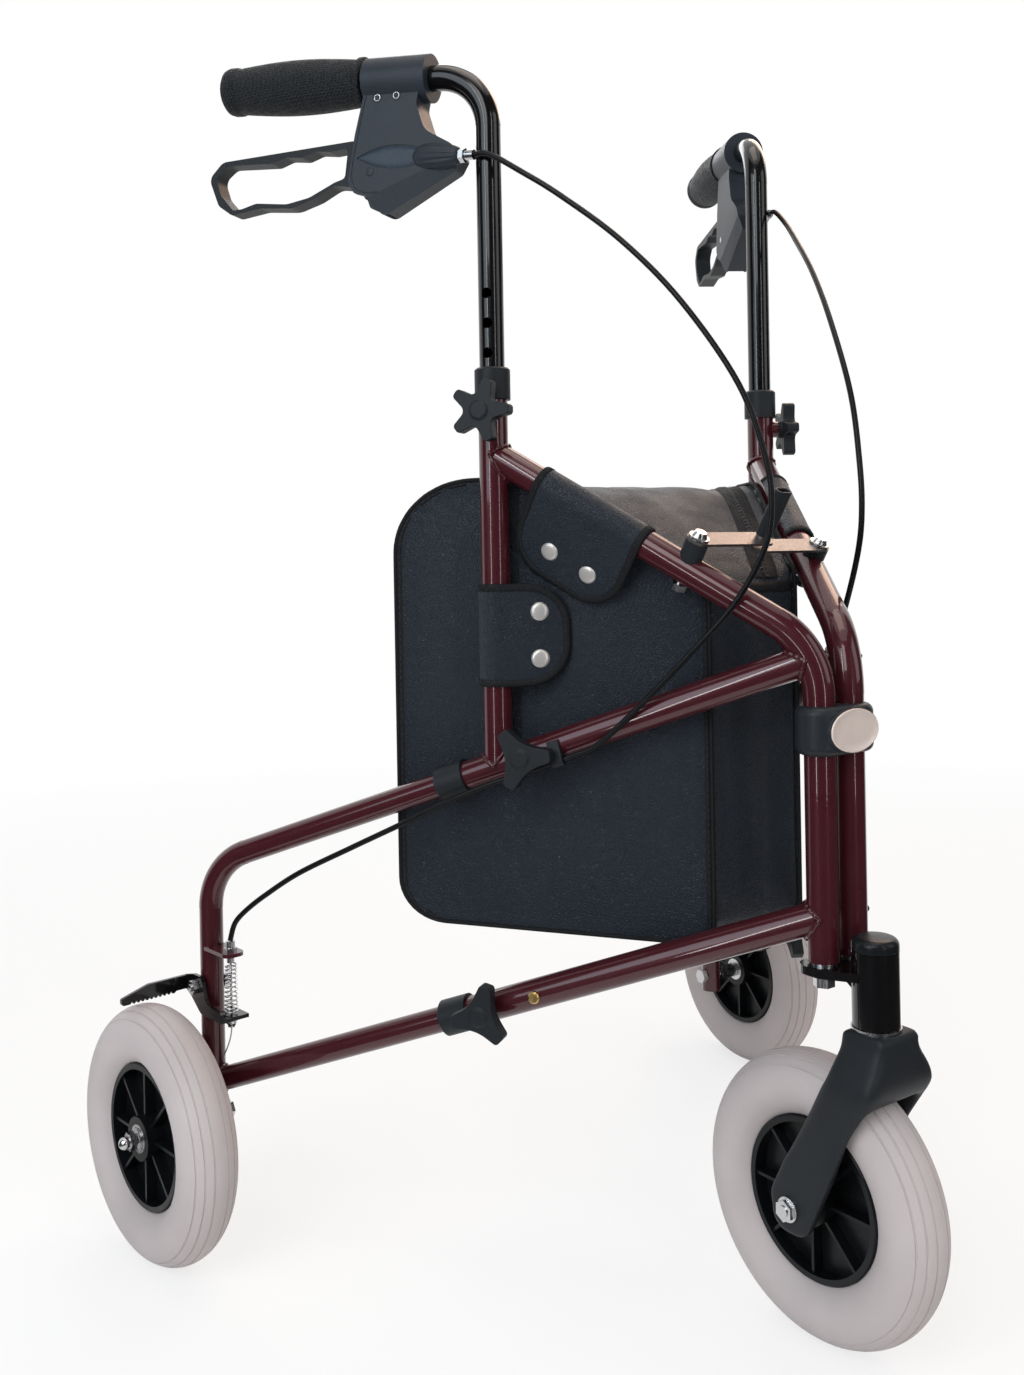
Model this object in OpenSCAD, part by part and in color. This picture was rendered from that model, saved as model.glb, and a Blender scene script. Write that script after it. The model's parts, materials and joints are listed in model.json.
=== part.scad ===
// Three wheel walker: two folding side frames on a front steering column, with height set handles,
// loop brakes, a folding brace and a zipped pouch. Millimetres, +Z up, the front faces -Y and the
// user's right hand side is -X. The origin is on the floor under the middle of the whole walker.

/* [Stance] */
// Angle of each side frame away from straight ahead
spread = 33; // [28:0.5:37]
// Distance between the axes of the two front posts
post_gap = 30; // [28:0.5:36]
// Angle by which the rear wheels point inwards
toe_in = 6; // [0:0.5:8]

/* [Tubes] */
// Outside diameter of the frame tubes
tube_d = 22.2; // [21:0.1:24]
// Wall of every tube
tube_wall = 1.5; // [1.2:0.1:1.8]
// Radial slip of a tube inside a frame tube
slip = 0.075; // [0.05:0.005:0.1]
// Radial clearance of a turning fit
run = 0.05; // [0.02:0.01:0.08]
// Gap between faces that move past each other
face_gap = 0.3; // [0.2:0.05:0.5]

/* [Side frame] */
// Height of the lower end of the front post
post_foot_z = 272; // [266:1:278]
// Length of the plug in the foot of the post
post_plug = 18; // [14:1:22]
// Height of the lower tube at the post
low_z = 303; // [298:1:310]
// Height of the middle tube at the post
mid_z = 482; // [474:1:486]
// Fall of the middle and lower tubes towards the rear
rake = 19.6; // [18:0.2:21]
// Height where the axes of the post and the upper tube meet
peak_z = 488; // [484:1:496]
// Rise of the upper tube towards the rear
upper_rise = 31; // [29:0.5:33]
// Bend radius between the post and the upper tube
bend_r = 60; // [50:1:70]
// Distance from the post to the upright
upright_s = 238; // [234:1:244]
// Height of the top of the upright
upright_top = 684; // [680:1:690]
// Distance from the upright to the rear end of the middle and lower tubes
tube_reach = 37; // [34:1:44]

/* [Rear leg] */
// Distance from the post to the leg
leg_s = 495; // [480:1:510]
// Bend radius of the leg
leg_bend_r = 50; // [44:1:56]
// Height of the lower end of the leg
leg_foot_z = 84; // [80:1:88]
// Distance from the end of the frame tubes to the front ends of the leg inside them
leg_start_s = 85; // [83:1:90]

/* [Wheels] */
// Diameter of the wheels
wheel_d = 200; // [196:1:204]
// Width of the round tyre section
tyre_w = 46; // [44:0.5:48]
// Diameter of the tyre's seat on the rim
rim_d = 114; // [112:1:116]
// Width of the hub across its bearings
hub_w = 36; // [34:0.5:40]
// Outside diameter of the hub
hub_d = 34; // [30:0.5:38]
// Number of ribs on each face of the rim
rib_count = 8; // [6:1:10]
// Diameter of the wheel axles
axle_d = 8; // [7:0.5:9]
// Outside diameter of the wheel bearings
bearing_d = 22; // [20:0.5:24]
// Width of the wheel bearings
bearing_w = 7; // [6:0.5:8]
// Distance from the leg to the middle of the wheel
wheel_out = 50; // [49:0.5:54]
// Width of the axle nuts across their flats
nut_af = 13; // [12:0.5:14]

/* [Steering column] */
// Distance of the steering axis ahead of the posts
stem_ahead = 32; // [30:0.5:36]
// Distance of the front axle behind the steering axis
trail = 49; // [46:1:52]
// Outside diameter of the head tube
head_d = 32; // [31:0.5:35]
// Bore of the head tube
head_bore = 28; // [26:0.5:28.5]
// Height of the lower end of the head tube
head_z = 233; // [231:1:236]
// Length of the head tube
head_h = 51; // [49:1:55]
// Diameter of the steering pin
stem_d = 12; // [11:0.5:13]
// Width of the steering bearings
stem_bearing_w = 8; // [7:0.5:9]
// Thickness of the plate under the posts
plate_t = 6; // [5:0.5:7]
// Diameter of the bolts on which the posts turn
post_bolt_d = 8; // [7:0.5:9]
// Height of the middle of the post clamp
clamp_z = 431; // [426:1:436]
// Height of the post clamp itself
clamp_h = 34; // [30:1:36]
// Plastic of the clamp around each post
clamp_wall = 6; // [5:0.5:7]

/* [Fork] */
// Gap between the tyre and each fork arm
fork_gap = 4; // [3:0.5:6]
// Thickness of each fork arm
fork_arm = 9; // [8:0.5:11]
// Gap between the tyre and the fork crown
crown_gap = 5; // [4:0.5:8]

/* [Handles] */
// Height where the axes of the handle tube meet at its bend
handle_z = 917; // [905:1:925]
// Rise of the grip towards the rear
handle_rise = 4.5; // [2:0.5:6]
// Bend radius of the handle tube
handle_bend_r = 42; // [38:1:44]
// Height of the lower end of the handle tube inside the upright
handle_foot_z = 520; // [512:1:530]
// Spacing of the height holes
hole_pitch = 22.3; // [21:0.1:23]
// Height of the star knob
star_z = 662; // [659:0.5:664]
// Distance along the handle from its bend to the front of the grip
grip_start = 100; // [99:1:104]
// Length of the grip
grip_l = 125; // [115:1:130]
// Radius of the grip at its ends
grip_r = 17.8; // [17:0.1:18.5]
// Swell of the grip at its middle
grip_swell = 3.2; // [2:0.1:3.6]

/* [Brakes] */
// Thickness of the brake housing
housing_t = 24; // [22:0.5:28]
// Thickness of the brake lever
lever_t = 15; // [13:0.5:16]
// Diameter of the pin of the brake lever
lever_pin_d = 5; // [4:0.5:6]
// Height of the brake shoe's pivot
shoe_pivot_z = 208; // [206:0.5:210]
// Gap between the brake shoe and the tyre when it is off
shoe_gap = 3; // [2.8:0.1:4]
// Thickness of the brake shoe's plate
shoe_t = 3; // [2.5:0.5:3.5]
// Diameter of the brake shoe's bolt
shoe_bolt_d = 6; // [5:0.5:7]
// Distance of the brake wire ahead of the leg
wire_ahead = 30; // [28:0.5:34]
// Height of the top of the welded brake tab
tab_z = 240; // [238:1:244]
// Diameter of the spring's wire
spring_wire = 1.2; // [1:0.1:1.4]
// Radius of the spring at its top
spring_r_top = 3.6; // [3.4:0.1:4]
// Radius of the spring at its foot
spring_r_foot = 5.6; // [5:0.1:6]
// Number of turns of the spring
spring_turns = 7; // [5:1:8]
// Diameter of the brake cables
cable_d = 5; // [4:0.5:5.5]

/* [Knobs] */
// Diameter of the knobs' screws
knob_bolt_d = 8; // [7:0.5:9]
// Thickness of the knobs
knob_t = 10; // [8:0.5:12]
// Distance from the end of the middle tube to its knob
mid_knob_s = 64; // [61:1:67]
// Distance from the end of the lower tube to its knob
low_knob_s = 28; // [26:1:31]
// Distance from the end of the lower tube to the snap button
button_s = 66; // [65:1:69]
// Diameter of the snap button
button_d = 9; // [8:0.5:9.5]

/* [Brace] */
// Distance from the post to the brace screw along the frame
brace_s = 92; // [90:1:95]
// Forward tilt of the brace
brace_tilt = 32; // [30:0.5:33]
// Width of the brace links
link_w = 17; // [16:0.5:17.5]
// Thickness of the brace links
link_t = 2; // [1.5:0.1:2.5]
// Gap between the two links at their middle
link_gap = 4.2; // [4.2:0.1:5]
// Height of the lower link above the tube's axis
link_rise = 17; // [16.8:0.1:18]
// Diameter of the brace screws
brace_screw_d = 6; // [5:0.5:6.5]
// Length of the brace's pull handle
pull_l = 46; // [40:1:52]

/* [Pouch] */
// Gap between the frame tubes and the side of the pouch
pouch_gap = 2.9; // [2.7:0.1:5]
// Front of the pouch behind the posts
pouch_front = 74; // [72:1:84]
// Rear of the pouch behind the posts
pouch_rear = 284; // [270:1:300]
// Height of the pouch's floor
pouch_floor = 271; // [262:1:280]
// Height of the pouch's top at the rear
pouch_top = 614; // [604:1:620]
// Height of the pouch's top at the front
pouch_nose = 540; // [530:1:544]
// Where the top of the pouch starts to fall to the front
pouch_ridge = 178; // [170:1:190]
// Thickness of the pouch's fastening flaps
flap_t = 1.8; // [1.5:0.1:2]

/* [Hidden] */
$fn = 48;

burgundy = "#5b1822";
gloss_black = "#141416";
plastic_black = "#26262a";
steel = "#b9bcc0";
zinc = "#c9c4b8";
brass = "#b08a4a";
vinyl = "#1d2633";
tyre_grey = "#c9bfbc";

// Extra length of a cut past the face that it opens
past = 1;
// Points on each rounded corner of an outline
arc_n = 6;

tube_bore = tube_d - 2 * tube_wall;
inner_d = tube_bore - 2 * slip;
inner_bore = inner_d - 2 * tube_wall;
wheel_r = wheel_d / 2;
// Radius of the circle that the middle of the tyre section follows
tyre_r = wheel_r - tyre_w / 2;
// Middle of the whole walker behind the posts
axle_y = (leg_s + wheel_out * sin(spread - toe_in)) * cos(spread) - wheel_out * cos(spread - toe_in) * sin(spread);
rear_y = axle_y + tyre_r * cos(toe_in) + tyre_w / 2;
front_y = trail - stem_ahead - wheel_r;
mid_y = (rear_y + front_y) / 2;

function mid_at(s) = mid_z - s * tan(rake);
function low_at(s) = low_z - s * tan(rake);
function upper_at(s) = peak_z + s * tan(upper_rise);
function unit(v) = v / norm(v);
function wrap(a) = a > 180 ? a - 360 : a < -180 ? a + 360 : a;

// Corner b of an outline, rounded by its third number
function fillet(a, b, c) =
    let (p = [b.x, b.y], u = unit([a.x, a.y] - p), v = unit([c.x, c.y] - p), half = acos(u * v) / 2)
    let (middle = p + unit(u + v) * b[2] / sin(half), t = b[2] / tan(half))
    let (from = p + u * t - middle, to = p + v * t - middle, start = atan2(from.y, from.x))
    let (turn = wrap(atan2(to.y, to.x) - start))
    [for (k = [0 : arc_n]) middle + b[2] * [cos(start + turn * k / arc_n), sin(start + turn * k / arc_n)]];
function rounded(p) =
    [for (i = [0 : len(p) - 1]) each fillet(p[(i + len(p) - 1) % len(p)], p[i], p[(i + 1) % len(p)])];

// Outline of a winged knob: each wing ends in two rounded corners, with a hollow between it and the next
function spun(x, y, a, r) = [x * cos(a) - y * sin(a), x * sin(a) + y * cos(a), r];
function wings(count, reach, half, hollow, tip_r, hollow_r) =
    rounded([for (k = [0 : count - 1]) let (a = 360 * k / count)
        each [spun(reach, -half, a, tip_r), spun(reach, half, a, tip_r), spun(hollow, 0, a + 180 / count, hollow_r)]]);

// Smooth curve through points, with n steps from each to the next
function spline(a, b, c, d, t) =
    0.5 * (2 * b + (c - a) * t + (2 * a - 5 * b + 4 * c - d) * t * t + (3 * b - a - 3 * c + d) * t * t * t);
function smooth(p, n) = [
    for (i = [0 : len(p) - 2], k = [0 : n - 1])
        spline(p[max(i - 1, 0)], p[i], p[i + 1], p[min(i + 2, len(p) - 1)], k / n),
    p[len(p) - 1]];
function along(p, i) = unit(p[min(i + 1, len(p) - 1)] - p[max(i - 1, 0)]);

// Round tube of triangles along a path, where out(i) of the list outs is a direction square to it
module swept(path, outs, d, sides) {
    rings = len(path);
    points = [for (i = [0 : rings - 1])
        let (t = along(path, i), n = unit(outs[i] - t * (outs[i] * t)), b = cross(t, n))
        for (k = [0 : sides - 1]) path[i] + d / 2 * (n * cos(360 * k / sides) + b * sin(360 * k / sides))];
    walls = [for (i = [0 : rings - 2], k = [0 : sides - 1])
        let (a = i * sides + k, b = i * sides + (k + 1) % sides)
        each [[a, a + sides, b], [b, a + sides, b + sides]]];
    first = [for (k = [1 : sides - 2]) [0, k, k + 1]];
    end = (rings - 1) * sides;
    last = [for (k = [1 : sides - 2]) [end, end + k + 1, end + k]];
    polyhedron(points, concat(walls, first, last));
}

// Straight round bar between two points of the frame's plane
module rod(p, q, d) {
    translate([p.x, 0, p.y])
        rotate([0, 90 - atan2(q.y - p.y, q.x - p.x), 0])
            cylinder(d = d, h = norm(q - p));
}

// Round bar through three points of the frame's plane, turning clockwise at the middle one. The
// bend is a little thicker than the straights, which run a short way into it.
bend_over = 0.3;
bend_lap = 2;
module bent(p, r, d) {
    u = unit(p[1] - p[0]);
    v = unit(p[2] - p[1]);
    heading = atan2(u.y, u.x);
    turn = wrap(heading - atan2(v.y, v.x));
    t = r * tan(turn / 2);
    middle = p[1] - u * t + r * [u.y, -u.x];
    rod(p[0], p[1] - u * (t - bend_lap), d);
    rod(p[1] + v * (t - bend_lap), p[2], d);
    translate([middle.x, 0, middle.y])
        rotate([90, 0, 0])
            rotate(heading + 90 - turn)
                rotate_extrude(angle = turn)
                    translate([r, 0])
                        circle(d = d + bend_over);
}

// Places for the two sides. In a side, x runs rearwards along the frame, y points outwards.
module frame_place() {
    translate([-post_gap / 2, -mid_y, 0])
        rotate(90 + spread)
            children();
}
module right() {
    frame_place() children();
}
module left() {
    mirror([1, 0, 0]) frame_place() children();
}
// In a wheel's place x runs rearwards, y runs outwards along the axle and z is the real height
module axle_place() {
    translate([leg_s, 0, 0])
        rotate(toe_in - spread)
            children();
}
module handle_place() {
    translate([upright_s, 0, handle_z])
        rotate([0, -handle_rise, 0])
            children();
}
// In the brace's place x runs across the walker and z stands on the brace
module brace_place() {
    translate([brace_s, 0, upper_at(brace_s)])
        rotate(-90 - spread)
            rotate([brace_tilt, 0, 0])
                children();
}
module stem_place() {
    translate([0, -stem_ahead - mid_y, 0]) children();
}
// Turns a shape that stands along z so that it lies along y, or along x
module to_y() {
    rotate([-90, 0, 0]) children();
}
module to_x() {
    rotate([0, 90, 0]) children();
}

module hex(af, h) {
    cylinder(d = af / cos(30), h = h, $fn = 6);
}
module ring(outer, inner, h) {
    difference() {
        cylinder(d = outer, h = h);
        translate([0, 0, -past]) cylinder(d = inner, h = h + 2 * past);
    }
}

// Sizes of the tubes' paths in the frame's plane
// A tube that is welded to another stops this far short of its axis
branch = 4;
upper_stop = upright_s - branch;
post_path = [[0, post_foot_z], [0, peak_z], [upper_stop, upper_at(upper_stop)]];
upper_end = upright_s - tube_d / 2;
post_bore_path = [[0, post_foot_z + post_plug], [0, peak_z], [upper_end, upper_at(upper_end)]];
tube_end = upright_s + tube_reach;
mid_end = [tube_end, mid_at(tube_end)];
low_end = [tube_end, low_at(tube_end)];
mid_knob_at = tube_end - mid_knob_s;
low_knob_at = tube_end - low_knob_s;
button_at = tube_end - button_s;
// Where the middle tube starts in the bend, and the bores of the middle and lower tubes
mid_start_s = 10;
mid_bore_s = tube_d;
low_bore_s = tube_d / 2 + tube_wall;
upright_floor = mid_at(upright_s) + tube_d / 2 / cos(rake) + tube_wall;
fall = [cos(rake), -sin(rake)];

// Welded nut for a knob's screw, and the hole through it and the tube's outer wall
boss_d = 14;
boss_out = 4;
module boss(s, z) {
    translate([s, 0, z])
        to_y() cylinder(d = boss_d, h = tube_d / 2 + boss_out);
}
module boss_hole(s, z) {
    translate([s, 0, z])
        to_y() cylinder(d = knob_bolt_d + 2 * run, h = tube_d);
}

module frame_tubes() {
    color(burgundy)
        difference() {
            union() {
                bent(post_path, bend_r, tube_d);
                rod([upright_s, mid_at(upright_s) + branch], [upright_s, upright_top], tube_d);
                rod([mid_start_s, mid_at(mid_start_s)], mid_end, tube_d);
                rod([branch, low_at(branch)], low_end, tube_d);
                boss(upright_s, star_z);
                boss(mid_knob_at, mid_at(mid_knob_at));
                boss(low_knob_at, low_at(low_knob_at));
            }
            bent(post_bore_path, bend_r, tube_bore);
            rod([upright_s, upright_floor], [upright_s, upright_top + past], tube_bore);
            rod([mid_bore_s, mid_at(mid_bore_s)], mid_end + fall * past, tube_bore);
            rod([low_bore_s, low_at(low_bore_s)], low_end + fall * past, tube_bore);
            translate([0, 0, post_foot_z - past])
                cylinder(d = post_bolt_d + 2 * run, h = post_plug + 2 * past);
            boss_hole(upright_s, star_z);
            boss_hole(mid_knob_at, mid_at(mid_knob_at));
            boss_hole(low_knob_at, low_at(low_knob_at));
            translate([button_at, 0, low_at(button_at)])
                to_y() cylinder(d = button_d + 2 * run, h = tube_d);
            brace_place()
                translate([0, 0, -tube_d])
                    cylinder(d = brace_screw_d + 2 * run, h = 2 * tube_d);
        }
}

// Plastic collars on the tube ends, the cable clip and the saddle under the brace
collar_l = 12;
collar_wall = 2.4;
collar_lip = 1.5;
module end_collar(bore) {
    r = tube_d / 2 + collar_wall;
    rotate_extrude()
        polygon([[tube_d / 2, -collar_l], [r, -collar_l], [r, collar_l - collar_lip], [r - collar_lip, collar_l],
            [bore / 2, collar_l], [bore / 2, 0], [tube_d / 2, 0]]);
}
clip_s = 190;
clip_l = 9;
clip_drop = 11;
clip_out = 13;
clip_wall = 2;
// Point on the clip's bore, t along it from its middle
function clip_axis(t) = [clip_s, clip_out, mid_at(clip_s)] + clip_drop * [-sin(rake), 0, -cos(rake)]
    + t * [cos(rake), 0, -sin(rake)];
module cable_clip() {
    clip_d = cable_d + 2 * clip_wall;
    translate([clip_s, 0, mid_at(clip_s)])
        rotate([0, 90 + rake, 0])
            difference() {
                union() {
                    translate([clip_drop, clip_out, -clip_l / 2]) cylinder(d = clip_d, h = clip_l);
                    translate([0, 0, -clip_l / 2])
                        linear_extrude(clip_l)
                            polygon(rounded([[-clip_d / 2, tube_d / 2 - clip_wall, 1], [clip_drop, tube_d / 3, 2],
                                [clip_drop + clip_d / 4, clip_out, 1], [clip_drop - clip_d / 3, clip_out + clip_d / 3, 1],
                                [-clip_d / 2, tube_d / 2 + clip_wall, 1]]));
                }
                translate([0, 0, -clip_l]) cylinder(d = tube_d, h = 2 * clip_l);
                translate([clip_drop, clip_out, -clip_l]) cylinder(d = cable_d + 2 * run, h = 2 * clip_l);
            }
}
function link_z(upper) = link_rise + (upper ? link_t + link_gap : 0);
saddle_d = 17;
module brace_saddle(upper) {
    difference() {
        brace_place()
            translate([0, 0, tube_d / 4])
                ring(saddle_d, brace_screw_d + 2 * run, link_z(upper) - face_gap - tube_d / 4);
        rod([0, upper_at(0)], [upright_s, upper_at(upright_s)], tube_d);
    }
}
module collar_set(upper) {
    color(plastic_black) {
        translate([upright_s, 0, upright_top]) end_collar(inner_d + 2 * slip);
        translate([mid_end.x, 0, mid_end.y]) rotate([0, 90 + rake, 0]) end_collar(inner_d + 2 * run);
        translate([low_end.x, 0, low_end.y]) rotate([0, 90 + rake, 0]) end_collar(inner_d + 2 * run);
        cable_clip();
        brace_saddle(upper);
    }
}

// Rear leg: a bent tube whose two ends plug into the frame, with the brake tab welded on
leg_from = tube_end - leg_start_s;
leg_start = [leg_from, mid_at(leg_from)];
leg_corner = [leg_s, mid_at(leg_s)];
leg_low_start = [leg_from, low_at(leg_from)];
tab_t = 3;
tab_w = 18;
adjuster_d = 6;
module rear_leg() {
    color(burgundy)
        difference() {
            union() {
                bent([leg_start, leg_corner, [leg_s, leg_foot_z]], leg_bend_r, inner_d);
                rod(leg_low_start, [leg_s - branch, low_at(leg_s - branch)], inner_d);
                axle_place()
                    translate([0, 0, tab_z - tab_t])
                        linear_extrude(tab_t)
                            polygon(rounded([[0, -tab_w / 2, 1], [0, tab_w / 2, 1],
                                [-wire_ahead - tab_w / 2, tab_w / 2, 6], [-wire_ahead - tab_w / 2, -tab_w / 2, 6]]));
            }
            bent([leg_start - fall * past, leg_corner, [leg_s, leg_foot_z + tube_wall]], leg_bend_r, inner_bore);
            rod(leg_low_start - fall * past, [leg_s - inner_d / 2, low_at(leg_s - inner_d / 2)], inner_bore);
            axle_place() {
                translate([0, -inner_d, wheel_r]) to_y() cylinder(d = axle_d + 2 * run, h = 2 * inner_d);
                translate([0, -inner_d, shoe_pivot_z]) to_y() cylinder(d = shoe_bolt_d + 2 * run, h = 2 * inner_d);
                translate([-wire_ahead, 0, tab_z - 2 * tab_t]) cylinder(d = adjuster_d + 2 * run, h = 3 * tab_t);
            }
            translate([button_at, 0, low_at(button_at)])
                to_y() cylinder(d = button_d + 2 * run, h = inner_d);
        }
}

// Axle bolt of a rear wheel with its head, spacer, washer, nut and domed cap
head_h_bolt = 5.5;
nut_h = 6.5;
washer_t = 1.6;
washer_over = 4;
spacer_wall = 3;
cap_d = 10;
module rear_axle() {
    nut_y = wheel_out + hub_w / 2 + face_gap;
    color(steel)
        axle_place()
            translate([0, 0, wheel_r])
                to_y() {
                    translate([0, 0, -inner_d / 2 - head_h_bolt]) hex(nut_af, head_h_bolt);
                    translate([0, 0, -inner_d / 2]) cylinder(d = axle_d, h = nut_y + nut_h + inner_d / 2);
                    translate([0, 0, inner_d / 2])
                        cylinder(d = axle_d + 2 * spacer_wall, h = wheel_out - hub_w / 2 - face_gap - inner_d / 2);
                    translate([0, 0, nut_y]) cylinder(d = nut_af + washer_over, h = washer_t);
                    translate([0, 0, nut_y + washer_t]) hex(nut_af, nut_h);
                    translate([0, 0, nut_y + washer_t + nut_h]) cylinder(d = cap_d, h = cap_d / 4);
                    translate([0, 0, nut_y + washer_t + nut_h + cap_d / 4]) sphere(d = cap_d);
                }
}

// Pivot bolt of the brake shoe, the cable adjuster on the tab and the screw of the brace, with their nuts
shoe_y = inner_d / 2 + 2;
screw_head_d = 12;
screw_head_h = 3.6;
screw_washer_d = 15;
brace_nut_h = 5;
brace_nut_af = 10;
module pivot_bolt_set(upper) {
    top = link_z(upper) + link_t + face_gap;
    tail = tube_d / 2 + brace_nut_h + 2;
    color(steel) {
        axle_place()
            translate([0, 0, shoe_pivot_z])
                to_y() {
                    translate([0, 0, -inner_d / 2 - head_h_bolt]) hex(brace_nut_af, head_h_bolt);
                    translate([0, 0, -inner_d / 2])
                        cylinder(d = shoe_bolt_d, h = inner_d / 2 + shoe_y + shoe_t + face_gap + nut_h);
                    translate([0, 0, inner_d / 2]) cylinder(d = brace_nut_af, h = shoe_y - face_gap - inner_d / 2);
                    translate([0, 0, shoe_y + shoe_t + face_gap]) hex(brace_nut_af, nut_h - washer_t);
                }
        axle_place()
            translate([-wire_ahead, 0, tab_z]) {
                translate([0, 0, -tab_t - adjuster_low])
                    cylinder(d = adjuster_d, h = tab_t + adjuster_low + ferrule_h - 2 * face_gap);
                hex(adjuster_d + 3, 3);
                cylinder(d = adjuster_d + 1.5, h = ferrule_h - 2 * face_gap);
            }
        brace_place() {
            translate([0, 0, -tail]) cylinder(d = brace_screw_d, h = tail + top + washer_t);
            translate([0, 0, top]) cylinder(d = screw_washer_d, h = washer_t);
            translate([0, 0, top + washer_t]) cylinder(d1 = screw_head_d, d2 = screw_head_d * 0.7, h = screw_head_h);
            translate([0, 0, -tube_d / 2 - brace_nut_h - 1]) hex(brace_nut_af, brace_nut_h);
        }
    }
}

// Brake cables: x along the frame, y outwards, z up
ferrule_h = 9;
// Where the upper cable leaves the brake's nose, from the handle's bend
nose_at = [6, 13, -63];
cable_start = [upright_s, 0, handle_z] + nose_at;
cable_upper_route = [cable_start, cable_start + [-13, 2, -2], cable_start + [-38, 4, -18], [176, 17, 815], [131, 18, 778], [88, 19, 731],
    [48, 21, 670], [30, 21, 617], [27, 21, 583], [33, 20, 555], [54, 18, 519], [86, 17, 484], [124, 15, 446],
    [156, 14, 417], [174, 13, 409], clip_axis(-clip_l / 2 - face_gap)];
wire_top = [leg_s - wire_ahead * cos(spread - toe_in), wire_ahead * sin(spread - toe_in), tab_z + ferrule_h];
cable_lower_route = [clip_axis(-clip_l / 2), clip_axis(clip_l / 2), clip_axis(2 * clip_l), [240, 14, 385],
    [275, 15, 370], [314, 15, 351], [358, 14, 330], [403, 14, 308], [436, 14, 287], [457, 14, 268],
    wire_top + [-0.6, 0, 8], wire_top];
cable_sides = 8;
module cable(route) {
    path = smooth(route, 2);
    color(gloss_black)
        swept(path, [for (p = path) [0, 1, 0]], cable_d, cable_sides);
}
module cable_above() {
    cable(cable_upper_route);
}
module cable_below() {
    cable(cable_lower_route);
}

// Fastening flaps of the pouch: each wraps round its tube and ends in a tongue that snaps on the pouch
flap_mid = tube_d / 2 + 0.3 + flap_t / 2;
flap_turn = 235;
upper_flap = [122, 201];
upper_flap_reach = 62;
upright_flap = [458, 533];
upright_flap_reach = 54;
// One face of the flap in section, t out from its middle; x runs to the tongue's end and y outwards
function flap_edge(reach, t) =
    let (tip = [reach + 4, -flap_mid], last = atan2(tip.y, tip.x) + acos(flap_mid / norm(tip)))
    concat([for (k = [0 : 24]) let (a = flap_turn + (last - flap_turn) * k / 24) (flap_mid + t) * [cos(a), sin(a)]],
        [tip + t * [cos(last), sin(last)]]);
function turned(p) = [for (i = [len(p) - 1 : -1 : 0]) p[i]];
module flap(length, reach) {
    section = concat(flap_edge(reach, flap_t / 2), turned(flap_edge(reach, -flap_t / 2)));
    intersection() {
        rotate([90, 0, 90]) linear_extrude(length) polygon([for (q = section) [q.y, -q.x]]);
        translate([0, tube_d, 0])
            rotate([90, 0, 0])
                linear_extrude(2 * tube_d)
                    polygon(rounded([[0, tube_d, 1], [length, tube_d, 1], [length, -reach, 30], [0, -reach, 30]]));
    }
}
module flap_set() {
    color(vinyl) {
        translate([upper_flap[0], 0, upper_at(upper_flap[0])])
            rotate([0, -upper_rise, 0]) flap((upper_flap[1] - upper_flap[0]) / cos(upper_rise), upper_flap_reach);
        translate([upright_s, 0, upright_flap[0]])
            rotate([0, -90, 0])
                mirror([0, 0, 1]) flap(upright_flap[1] - upright_flap[0], upright_flap_reach);
    }
}

// Handle tube with its row of height holes
handle_holes = [-2 : 4];
module handle_bar() {
    grip_end = [cos(handle_rise), sin(handle_rise)] * (grip_start + grip_l - grip_cap);
    path = [[upright_s, handle_foot_z], [upright_s, handle_z], [upright_s, handle_z] + grip_end];
    bore_path = [[upright_s, handle_foot_z - past], [upright_s, handle_z], [upright_s, handle_z] + grip_end * 1.01];
    color(gloss_black)
        difference() {
            bent(path, handle_bend_r, inner_d);
            bent(bore_path, handle_bend_r, inner_bore);
            for (k = handle_holes)
                translate([upright_s, 0, star_z + k * hole_pitch])
                    to_y() cylinder(d = knob_bolt_d, h = inner_d);
        }
}

grip_cap = 4;
grip_flange = 1.6;
grip_bead = 0.9;
grip_steps = 16;
module rubber_grip() {
    front = grip_start + 6;
    rear = grip_start + grip_l - 13;
    far = grip_start + grip_l;
    swell = [for (k = [0 : grip_steps])
        [grip_r + grip_swell * sin(180 * k / grip_steps), front + (rear - front) * k / grip_steps]];
    color(plastic_black)
        handle_place()
            to_x()
                rotate_extrude()
                    polygon(concat([[inner_d / 2, grip_start], [grip_r + grip_flange - 0.8, grip_start],
                        [grip_r + grip_flange, grip_start + 0.8], [grip_r + grip_flange, grip_start + 4]], swell,
                        [[grip_r + grip_bead, rear + 3], [grip_r + grip_bead, far - 5], [grip_r, far - 2],
                        [grip_r - 2.5, far], [0, far], [0, far - grip_cap], [inner_d / 2, far - grip_cap]]));
}

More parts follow.
